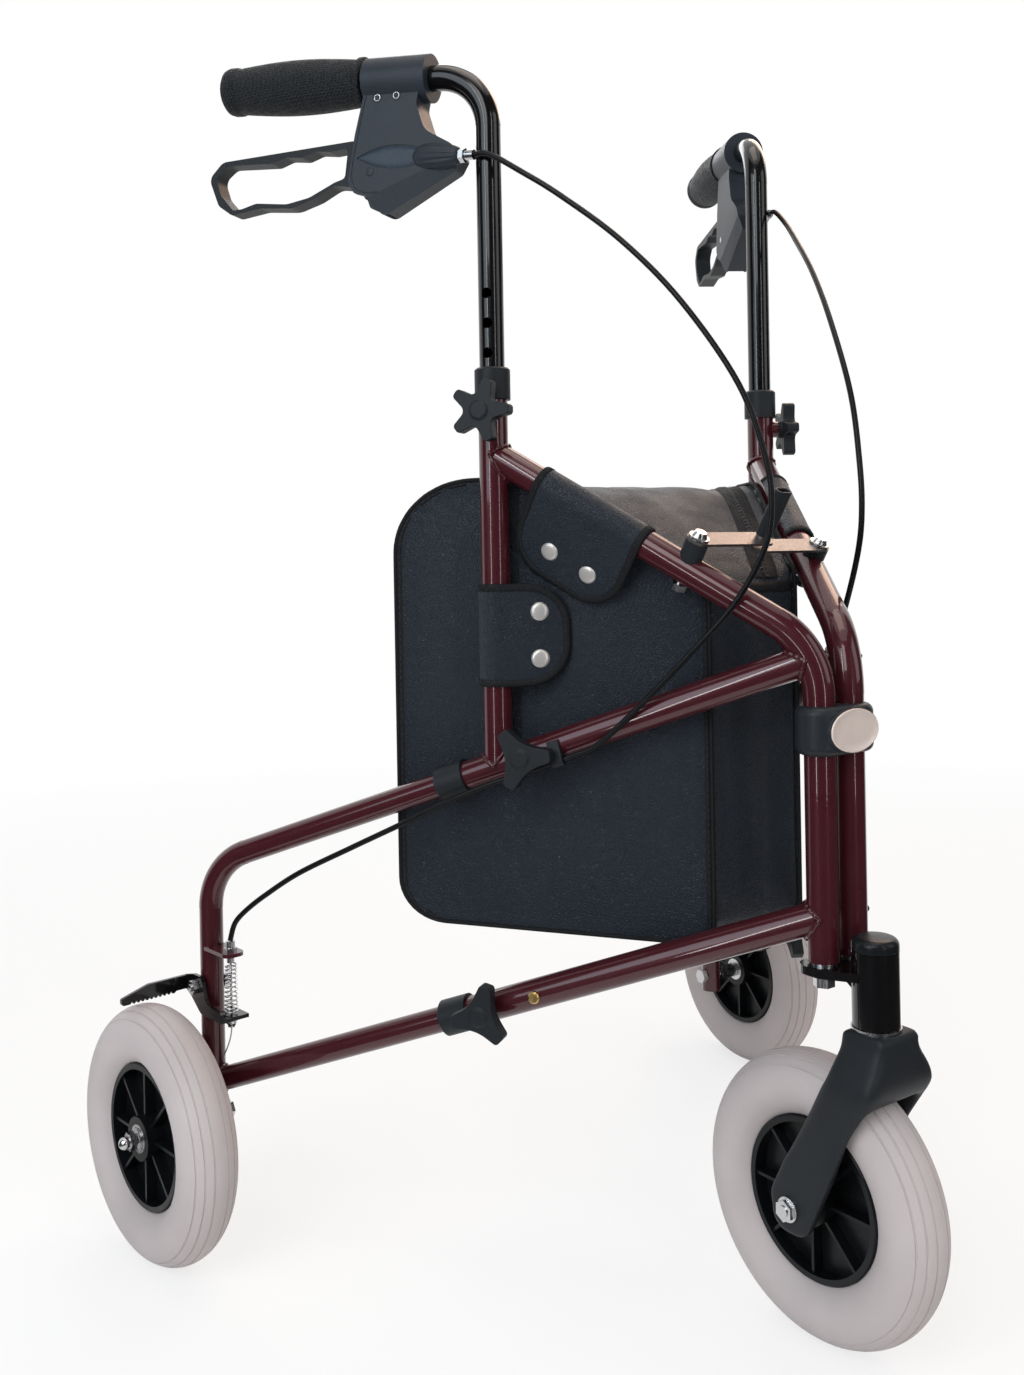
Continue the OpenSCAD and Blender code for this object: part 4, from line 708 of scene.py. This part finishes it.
def foldPouch(mesh):   # soft folds on the front, the lid and the back, and slack along the floor
    p, f = pouchShape, pouchFolds
    for v in mesh.vertices:
        inner = fade(sideOffset(v.co), *f["from"])
        if inner <= 0:
            continue
        x, y, z = v.co
        back, high = y * 1000 + midY, z * 1000
        fold = noise.noise(Vector((x * 26, y * 9, z * 7))) * f["broad"]
        fold += noise.noise(Vector((x * 60 + 3, y * 30, z * 16))) * f["fine"]
        if back < p["front"] + f["frontReach"]:
            slant = noise.noise(Vector((x * 18 + z * 9, 5.0, z * 13 - x * 7))) * f["slant"]
            v.co.y += inner * (fold * 0.9 + slant + f["frontSink"]) / 1000
        elif back > p["rear"] - f["rearReach"]:
            v.co.y += inner * (fold * 0.8 - f["rearSink"]) / 1000
        if high > f["lidZ"]:
            v.co.z += inner * (fold * 0.5 - f["lidSink"]) / 1000
        elif high < p["floor"] + f["floorReach"]:
            v.co.z += inner * abs(fold) * 0.4 / 1000
    for v in mesh.vertices:   # clear of the frame tubes
        over = sideOffset(v.co) + p["clear"]
        if over > 0:
            v.co.x -= copysign(over / 1000 / cos(spread), v.co.x)


def pouchShell():
    inset = pouchShape["inset"]
    outline = pouchOutline(inset, 10)
    n = len(outline)
    verts = [pouchPoint(side, p.x, p.y, inset) for side in sides for p in outline]
    faces = [tuple(range(n)), tuple(reversed(range(n, 2 * n)))]
    faces += [(k, n + k, n + (k + 1) % n, (k + 1) % n) for k in range(n)]
    shell = addPiece("pouchShell", verts, faces, finish["pouch_vinyl"], None, "pouch_vinyl")
    skin = shell.modifiers.new("skin", "REMESH")
    skin.mode, skin.voxel_size = "VOXEL", pouchShape["skin"]
    settle(shell)
    swellPouch(shell)
    foldPouch(shell.data)
    soft = shell.modifiers.new("soft", "SUBSURF")
    soft.levels = soft.render_levels = 1
    settle(shell)
    shade(shell)
    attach(shell, "column")
    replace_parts(shell, "pouch")
    return shell


pouch = pouchShell()
print("pouch shell:", len(pouch.data.vertices), "points")
pouchTree = BVHTree.FromPolygons([v.co for v in pouch.data.vertices], [tuple(p.vertices) for p in pouch.data.polygons])


def onPouch(point, way, lift=0, deepest=30):   # the shell as seen along way from outside, lifts in millimetres
    hit = pouchTree.ray_cast(point + way * 0.06, -way, 0.06 + deepest / 1000)[0]
    return (hit if hit is not None else point) + way * lift / 1000


# pouch trim: bound panel edges, stitching, zip band and front seam

pouchTrim = {"piping": 1.7, "binding": 4.6, "lift": 0.9, "hemReach": 4,   # strips are (inset, lift)
             "hem": ((0.2, 0.1), (1.6, 0.4), (9, 0.4), (13, 0.02)),
             "zipInward": 28, "zipHalf": 13, "zipStitch": 8.5, "coilPitch": 2.6, "coilHalf": 2.6, "coilRise": 1.3,
             "zipLine": (("rear", 0, 470), ("rear", -1, 540), ("rear", -10, 575), ("rear", -28, 600),
                         ("rear", -56, 612), ("ridge", 14, 613), ("ridge", -10, 604), ("ridge", -50, 577),
                         ("front", 14, 549), ("front", 3, 537)),
             "seamZ": 524, "seam": ((8, 0.1), (6, 1.0), (1.2, 1.2), (0, 0.1)), "seamStitch": 3.4}


def panelEdge(side, trim):
    way = outOf(side)
    flat = pouchOutline(0.4, 5)
    n = len(flat)
    inwards = []
    for i in range(n):
        run = (flat[(i + 1) % n] - flat[i - 1]).normalized()
        inwards.append(Vector((-run.y, run.x)))

    def row(inset, lift):
        return [onPouch(pouchPoint(side, *(p + d * inset), 1), way, lift, pouchTrim["hemReach"])
                for p, d in zip(flat, inwards)]
    pipe = [pouchPoint(side, p.x, p.y, 0.8) for p in flat]
    trim.add(*tubeMesh(pipe, pouchTrim["piping"] / 1000, 8, closed=True))
    wide, lift = pouchTrim["binding"], pouchTrim["lift"]
    tape = ((0.5, 0.5), (1.2, lift), (wide - 0.8, lift), (wide, 0.2))
    for strip, kind in ((pouchTrim["hem"], 3), (tape, 0)):
        verts = [p for across in zip(*(row(*edge) for edge in strip)) for p in across]
        trim.add(verts, stripFaces(n, 4, True), kind, flip=side == "left")
    seam = row(wide - 2, lift + 0.1)
    stitchRow(trim, seam + seam[:1], [way] * n, 1)


def zipBand(trim):
    profile = [Vector((pouchShape[key] + shift, z)) for key, shift, z in pouchTrim["zipLine"]]
    profile = evenPoints(smoothPath(profile, 6), 5)
    line, ways = [], []
    for i, q in enumerate(profile):
        run = (profile[min(i + 1, len(profile) - 1)] - profile[max(i - 1, 0)]).normalized()
        ways.append(Vector((0, run.y, -run.x)))
        line.append(Vector((pouchHalf(q.x) - pouchTrim["zipInward"], q.x - midY, q.y)) / 1000)

    def row(across, lift):
        return [onPouch(p + Vector((across / 1000, 0, 0)), way, lift) for p, way in zip(line, ways)]
    half = pouchTrim["zipHalf"]
    rows = [row(*edge) for edge in ((-half, 0.05), (1 - half, 1), (0, 1), (half - 1, 1), (half, 0.05))]
    trim.add([p for across in zip(*rows) for p in across], stripFaces(len(line), 5), 0, flip=True)
    dense = evenPoints(rows[2], pouchTrim["coilPitch"] / 1000)
    corners = ((-1, -1), (-1, 1), (1, 1), (1, -1))
    for i, (a, b) in enumerate(zip(dense, dense[1:])):   # coil of the zip, one ridge at a time
        way = ways[min(len(ways) - 1, int(i * len(ways) / len(dense)))]
        run = (b - a).normalized()
        over = run.cross(way).normalized() * pouchTrim["coilHalf"] / 1000
        middle = a.lerp(b, 0.5) + over * (0.25 if i % 2 else -0.25)
        half, lift = run * 0.0009, way * pouchTrim["coilRise"] / 1000
        ridge = [middle + over * u + half * v for u, v in corners]
        ridge += [middle + over * 0.7 * u + half * 0.6 * v + lift for u, v in corners]
        trim.add(ridge, [(4, 5, 6, 7), (0, 1, 5, 4), (1, 2, 6, 5), (2, 3, 7, 6), (3, 0, 4, 7)], 2, flip=True)
    for across in (-pouchTrim["zipStitch"], pouchTrim["zipStitch"]):
        stitchRow(trim, row(across, 1.2), ways, 1)


def frontSeam(trim, count=24):   # the lid's edge lies over the top of the front face
    y = pouchShape["front"]
    half = pouchHalf(y) - 3
    way = Vector((0, -1, 0))

    def at(i, z, lift):
        x = -half + 2 * half * i / count
        return onPouch(Vector((x, y - midY, pouchTrim["seamZ"] + z)) / 1000, way, lift)
    verts = [at(i, *edge) for i in range(count + 1) for edge in pouchTrim["seam"]]
    trim.add(verts, stripFaces(count + 1, 4), 0)
    stitchRow(trim, [at(i, pouchTrim["seamStitch"], 1.3) for i in range(count + 1)], [way] * count, 1)


pouchEdges = Trim("pouchEdges", [tapeMat, threadMat, coilMat, finish["pouch_vinyl"]])
for side in sides:
    panelEdge(side, pouchEdges)
zipBand(pouchEdges)
frontSeam(pouchEdges)
pouchEdges = pouchEdges.build("column", "pouch_vinyl")
for piece in (pouch, pouchEdges):   # each gets a mesh of its own
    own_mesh(piece)
print("pouch trim:", len(pouchEdges.data.vertices), "points")


# fastening flaps: one sheet round the tube and a tongue held by two snaps

flapCut = {"thick": 1.8, "gap": 0.3, "turn": 235, "tape": 4.6, "tapeLift": 0.4, "round": 30, "slack": 0.5,
           "uprightZ": 458, "upperS": 122, "columns": 30, "rows": 44, "stitchShare": 0.8, "snapR": 6.1,
           "snap": ((1.14, 0.0), (1.14, 0.3), (1.06, 0.45), (1.04, 0.9), (0.95, 1.3), (0.75, 1.62), (0.45, 1.82),
                    (0.15, 1.9)),   # share of the radius and height
           "upper": {"length": 92.16, "reach": 62, "snaps": ((27, 41), (61, 41))},
           "upright": {"length": 75, "reach": 54, "snaps": ((20, 34), (55, 34))}}


def flapPlace(side, which, u, p, o):   # u along the tube, p towards the tongue's end, o outwards
    if which == "upright":
        return sidePoint(side, uprightS - p, o, flapCut["uprightZ"] + u)
    s, c = sin(upperRise), cos(upperRise)
    return sidePoint(side, flapCut["upperS"] + u * c + p * s, o, upperAt(flapCut["upperS"]) + u * s - p * c)


def flapSection(reach):   # laid flat: v runs from the hidden edge behind the tube to the tongue's end
    r = walker["tubeR"] + flapCut["gap"] + flapCut["thick"] / 2
    tip = Vector((reach + 4, -r))
    last = atan2(tip.y, tip.x) + acos(r / tip.length)
    first = radians(flapCut["turn"])
    bent = r * (first - last)
    start = Vector((r * cos(last), r * sin(last)))
    run = Vector((sin(last), -cos(last)))

    def at(v, h):
        if v < bent:
            a = first - v / r
            return (r + h) * Vector((cos(a), sin(a)))
        return start + run * (v - bent) + h * Vector((cos(last), sin(last)))

    def flat(p):
        return bent + (p - start.x) / run.x
    return at, flat


def flapOutline(length, flat, reach):   # edge of the sheet laid flat, from behind the tube round the tongue and back
    r = flapCut["round"]
    quarter = [pi / 2 * k / 12 for k in range(13)]
    line = [Vector((0, 0))]
    line += [Vector((r - r * cos(a), flat(reach - r + r * sin(a)))) for a in quarter]
    line += [Vector((length - r + r * sin(a), flat(reach - r + r * cos(a)))) for a in quarter]
    return evenPoints(line + [Vector((length, 0))], 2.5)


def domedSnap(trim, middle, way, kind, n=28):
    side = way.orthogonal().normalized()
    over = way.cross(side)
    verts = [middle + (side * cos(a) + over * sin(a)) * flapCut["snapR"] / 1000 * reach + way * lift / 1000
             for reach, lift in flapCut["snap"] for a in turns(n)]
    trim.addRings(verts, n, kind)


def flapSheet(side, cut, on, flat):   # two faces and the rim between them
    columns, rows, r = flapCut["columns"], flapCut["rows"], flapCut["round"]
    t = flapCut["thick"] / 2
    verts = []
    for layer in (t, -t):
        for i in range(columns + 1):
            u = cut["length"] * i / columns
            near = min(u, cut["length"] - u)
            end = cut["reach"] - (r - sqrt(max(0, r * r - (r - near) ** 2)) if near < r else 0)
            for k in range(rows + 1):
                v = flat(end) * k / rows
                wave = noise.noise(Vector((u * 0.05, v * 0.06, 3.0 if side == "left" else 1.0)))
                verts.append(on(u, v, layer + flapCut["slack"] * wave * fade(v, 52, 64)))
    front = stripFaces(columns + 1, rows + 1)
    base = (columns + 1) * (rows + 1)
    rim = [i * (rows + 1) for i in range(columns + 1)] + [columns * (rows + 1) + k for k in range(1, rows + 1)]
    rim += [i * (rows + 1) + rows for i in range(columns - 1, -1, -1)] + list(range(rows - 1, 0, -1))
    back = [tuple(base + i for i in reversed(f)) for f in front]
    return verts, front + back + [(a, b, base + b, base + a) for a, b in zip(rim, rim[1:] + rim[:1])]


def makeFlaps(side):
    trim = Trim(f"{side}Flaps", [finish["pouch_vinyl"], tapeMat, threadMat, snapMat])
    t, wide = flapCut["thick"] / 2, flapCut["tape"]
    high = t + flapCut["tapeLift"]
    half = ((wide, t), (wide, high), (0.6, high), (-0.8, 0.5 * high))   # tape folded over the edge, (inset, height)
    section = half + tuple((inset, -h) for inset, h in reversed(half))
    for which in ("upper", "upright"):
        cut = flapCut[which]
        at, flat = flapSection(cut["reach"])

        def on(u, v, h):
            q = at(max(0, v), h)
            return flapPlace(side, which, u, q.x, q.y)
        flip = (side == "left") == (which == "upright")   # the two are laid out in opposite hands
        trim.add(*flapSheet(side, cut, on, flat), 0, flip)
        edge = flapOutline(cut["length"], flat, cut["reach"])
        tape, seam, ways = [], [], []
        for i, e in enumerate(edge):
            run = (edge[min(i + 1, len(edge) - 1)] - edge[max(i - 1, 0)]).normalized()
            inward = Vector((run.y, -run.x))
            tape += [on(*(e + inward * inset), h) for inset, h in section]
            spot = e + inward * (wide - 1.4)
            seam.append(on(*spot, high + 0.05))
            ways.append((on(*spot, high + 1) - on(*spot, high)).normalized())
        trim.add(tape, stripFaces(len(edge), len(section)), 1, flip)
        stitchRow(trim, seam, ways, 2, flapCut["stitchShare"])
        for u, p in cut["snaps"]:
            middle, above = on(u, flat(p), t - 0.1), on(u, flat(p), t + 2)
            domedSnap(trim, middle, (above - middle).normalized(), 3)
    flaps = trim.build(f"{side}_side", "pouch_vinyl")
    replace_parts(flaps, f"{side}_pouch_flaps")
    return flaps


for side in sides:
    print(f"{side} flaps:", len(makeFlaps(side).data.vertices), "points")


# return springs with the brake wire inside, and the wire's clamp under the shoe

springShape = {"turns": 12, "steps": 20, "foot": 190.3, "head": 230.7, "footR": 5.0, "headR": 4.2, "wire": 0.65,
               "cable": 0.9, "ahead": 30, "keep": 0.923, "strand": 0.6,   # the nut's rings are (radius, height)
               "nut": ((4.2, 186.8), (4.6, 186.3), (4.6, 182.6), (4.2, 182), (3.1, 181.9), (3.1, 179.5), (2.5, 179)),
               "tail": ((0, 0, 179.5), (0.2, 0.3, 175), (1, 1.2, 169), (3.4, 2.4, 162), (6.6, 3.2, 156),
                        (7.4, 3.4, 153))}


def wirePoint(side, x, y, z):   # from the brake wire's line
    return axlePoint(side, x - springShape["ahead"], y, z)


def makeSpring(side):
    s = springShape
    trim = Trim(f"{side}Spring", [finish["spring_steel"]])
    path = []
    total = s["turns"] * s["steps"]
    for i in range(total + 1):
        t = i / total
        rise = 0.75 * t + 0.25 * (0.5 - 0.5 * cos(pi * t))   # end coils lie closer
        r = s["footR"] + (s["headR"] - s["footR"]) * t
        a = 2 * pi * i / s["steps"]
        z = s["foot"] + s["wire"] + (s["head"] - s["foot"] - 2 * s["wire"]) * rise
        path.append(wirePoint(side, r * cos(a), r * sin(a), z))
    trim.add(*tubeMesh(path, s["wire"] / 1000, 10))
    wire = [wirePoint(side, 0, 0, z) for z in (s["foot"] + 0.1, 200, 210, 220, s["head"])]
    trim.add(*tubeMesh(wire, s["cable"] / 1000, 8))
    spring = trim.build(f"{side}_side", "spring_steel")
    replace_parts(spring, f"{side}_brake_spring")
    tuple(wirePoint(side, 0, 0, s["head"]))
    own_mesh(spring)


def makeWireEnd(side, n=6):   # hex clamp nut and the cut end of the wire below the flange
    trim = Trim(f"{side}WireEnd", [finish["steel"]])
    turn = 2 * pi * 0.3 / n
    verts = [wirePoint(side, r * cos(a + turn), r * sin(a + turn), z) for r, z in springShape["nut"] for a in turns(n)]
    trim.addRings(verts, n, flip=side == "right")
    tail = [wirePoint(side, *p) for p in springShape["tail"]]
    trim.add(*tubeMesh(smoothPath(tail, 5), springShape["strand"] / 1000, 8))
    trim.build(f"{side}_shoe", "steel")


for side in sides:
    makeSpring(side)
    makeWireEnd(side)
print("springs made")


# weld beads where the frame tubes meet: the tube, the joint, the main tube's run and the branch's run

fall, climb = Vector((cos(rake), -sin(rake))), Vector((cos(upperRise), sin(upperRise)))
plumb = Vector((0, 1))
weldBead = {"radius": 1.7, "ripple": 0.35, "lump": 0.5, "sink": 0.3, "proud": 0.6, "steps": 72,
            "joints": [("frame", (0, lowAt(0)), plumb, fall), ("frame", (6.9, 479.5), Vector((0.466, 0.885)), fall),
                       ("frame", (uprightS, midAt(uprightS)), fall, plumb),
                       ("frame", (uprightS, upperAt(uprightS)), plumb, -climb),
                       ("leg", (walker["legS"], lowAt(walker["legS"])), plumb, -fall)]}


def weldRing(side, trim, tube, joint, main, branch, seed):
    w = weldBead
    r = walker["tubeR"] if tube == "frame" else walker["innerR"]
    m, b = main.normalized(), branch.normalized()
    c = m.dot(b)
    sine = sqrt(1 - c * c)
    e = (m - c * b) / sine
    grow = r + w["sink"]
    path, radii = [], []
    for k, f in enumerate(turns(w["steps"])):
        t = r * (abs(cos(f)) + c * cos(f)) / sine
        q = Vector(joint) + b * (t + w["proud"]) + e * grow * cos(f)
        path.append(sidePoint(side, q.x, grow * sin(f), q.y))
        ripple = sin(k * 2 * pi / 4.5 + seed) * w["ripple"]
        lump = noise.noise(Vector((k * 0.35, seed * 3.1, 0.0))) * w["lump"]
        radii.append((w["radius"] + ripple + lump) / 1000)
    trim.add(*tubeMesh(path, radii, 8, closed=True))


for side in sides:
    welds = Trim(f"{side}Welds", [finish["frame_paint"]])
    for i, spot in enumerate(weldBead["joints"]):
        weldRing(side, welds, *spot, seed=i + (0.5 if side == "left" else 0))
    welds.build(f"{side}_side", "frame_paint")
print("welds made")


# studio

lighting = {"world": 0.40, "worldColour": (0.92, 0.96, 1, 1), "floorHalf": 30, "floorGlow": (0.72, 1.0),
            "floorReach": (0.9, 2.6), "aim": (0, 0, 0.5)}
darkCard = {"from": 140, "to": 352, "steps": 24, "rows": ((0.55, 0.003), (3.2, 0.003), (3.2, 5.0))}   # degrees, metres
lamps = {"key": ((-1.7, -1.3, 1.9), 13, (0.7, 1.4), (1, 1, 1)),   # place, power, size, colour
         "fill": ((1.2, -2.0, 1.4), 9, (1.2, 1.6), (1, 1, 1)),
         "rim": ((0.6, 1.9, 2.0), 13, (1.4, 1.0), (1, 1, 1)),
         "top": ((-0.1, -0.2, 2.6), 10, (1.2, 1.2), (1, 0.84, 0.72)),
         "left": ((-2.3, -0.3, 1.4), 17, (1.3, 1.5), (0.8, 0.91, 1)),
         "warm": ((1.45, 0.55, 2.0), 13, (1.0, 1.0), (1, 0.66, 0.45)),
         "stripNear": ((-1.5, -0.55, 0.9), 5, (0.07, 1.7), (1, 1, 1)),
         "stripFront": ((-0.2, -1.7, 0.9), 4, (0.07, 1.7), (1, 1, 1))}


def seenRays(owner):   # 1 for rays that see the backdrop: from the camera, in gloss and through glass
    rays = addNode(owner, "ShaderNodeLightPath").outputs
    seen = rays["Is Camera Ray"]
    for kind in ("Glossy", "Transmission"):
        most = addNode(owner, "ShaderNodeMath", operation="MAXIMUM")
        join(owner, seen, most.inputs[0])
        join(owner, rays[f"Is {kind} Ray"], most.inputs[1])
        seen = most.outputs[0]
    return seen


def paleFloor():   # shadow near the walker, plain white far off
    mat = newMat("paleFloor", (0.9, 0.9, 0.9), 0.7)
    far = lighting["floorHalf"]
    addPiece("studioFloor", [(-far, -far, 0), (far, -far, 0), (far, far, 0), (-far, far, 0)],
                      [(0, 1, 2, 3)], mat, None, "steel")
    glow = addNode(mat, "ShaderNodeEmission", Strength=1.0)
    mix = addNode(mat, "ShaderNodeMixShader")
    share = addNode(mat, "ShaderNodeMath", operation="MULTIPLY")
    reach = addNode(mat, "ShaderNodeVectorMath", operation="LENGTH")
    join(mat, place(mat), reach.inputs[0])
    join(mat, ramp(mat, reach.outputs["Value"], *lighting["floorReach"], *lighting["floorGlow"]), share.inputs[1])
    join(mat, seenRays(mat), share.inputs[0])
    join(mat, share.outputs[0], mix.inputs["Fac"])
    join(mat, shader(mat).outputs[0], mix.inputs[1])
    join(mat, glow.outputs[0], mix.inputs[2])
    join(mat, mix.outputs[0], mat.node_tree.nodes["Material Output"].inputs["Surface"])


def darkFlag():   # dark card on the near side, only seen in gloss
    steps, rows = darkCard["steps"], darkCard["rows"]
    angles = [radians(darkCard["from"] + (darkCard["to"] - darkCard["from"]) * k / steps) for k in range(steps + 1)]
    flag = addPiece("darkFlag", [(r * cos(a), r * sin(a), z) for a in angles for r, z in rows],
                    stripFaces(steps + 1, len(rows)), newMat("darkCard", (0.02, 0.02, 0.022), 0.9), None, "steel")
    shade(flag, smooth=False)
    flag.visible_camera = flag.visible_diffuse = flag.visible_shadow = flag.visible_transmission = False


def studioWorld():
    world = scene.world = bpy.data.worlds.new("studioWorld")
    world.use_nodes = True
    back, out = (world.node_tree.nodes[name] for name in ("Background", "World Output"))
    back.inputs["Color"].default_value = lighting["worldColour"]
    back.inputs["Strength"].default_value = lighting["world"]
    white = addNode(world, "ShaderNodeBackground", Color=(1, 1, 1, 1), Strength=1.0)
    mixer = addNode(world, "ShaderNodeMixShader")
    join(world, seenRays(world), mixer.inputs["Fac"])
    join(world, back.outputs[0], mixer.inputs[1])
    join(world, white.outputs[0], mixer.inputs[2])
    join(world, mixer.outputs[0], out.inputs["Surface"])


def addLamps():
    for name, (spot, power, size, colour) in lamps.items():
        lamp = bpy.data.lights.new(name + "Lamp", "AREA")
        lamp.shape = "RECTANGLE"
        lamp.size, lamp.size_y = size
        lamp.energy, lamp.color = power, colour
        obj = newObject(name + "Lamp", lamp)
        obj.location = spot
        obj.rotation_euler = (Vector(lighting["aim"]) - Vector(spot)).to_track_quat("-Z", "Y").to_euler()


photoCamera = {"place": (-0.7203, -0.8218, 0.5543), "yaw": 36.18, "pitch": -0.16, "roll": -1.01, "lens": 34.49,
               "shiftY": -0.0927}


def addCamera():
    cam = bpy.data.cameras.new("photoCamera")
    cam.sensor_fit = "VERTICAL"
    cam.sensor_height = 36
    cam.lens = photoCamera["lens"]
    cam.shift_y = photoCamera["shiftY"]
    yaw, pitch, roll = (radians(photoCamera[k]) for k in ("yaw", "pitch", "roll"))
    ahead = Vector((sin(yaw) * cos(pitch), cos(yaw) * cos(pitch), sin(pitch)))
    level = ahead.cross(Vector((0, 0, 1))).normalized()
    plumbUp = level.cross(ahead)
    right = level * cos(roll) + plumbUp * sin(roll)
    up = plumbUp * cos(roll) - level * sin(roll)
    obj = newObject("photoCamera", cam)
    columns = (right, up, -ahead, Vector(photoCamera["place"]))
    obj.matrix_world = Matrix([[c[i] for c in columns] for i in range(3)] + [[0, 0, 0, 1]])
    scene.camera = obj


paleFloor()
darkFlag()
studioWorld()
addLamps()
addCamera()
scene.view_settings.view_transform = "Standard"
print("studio and camera set")
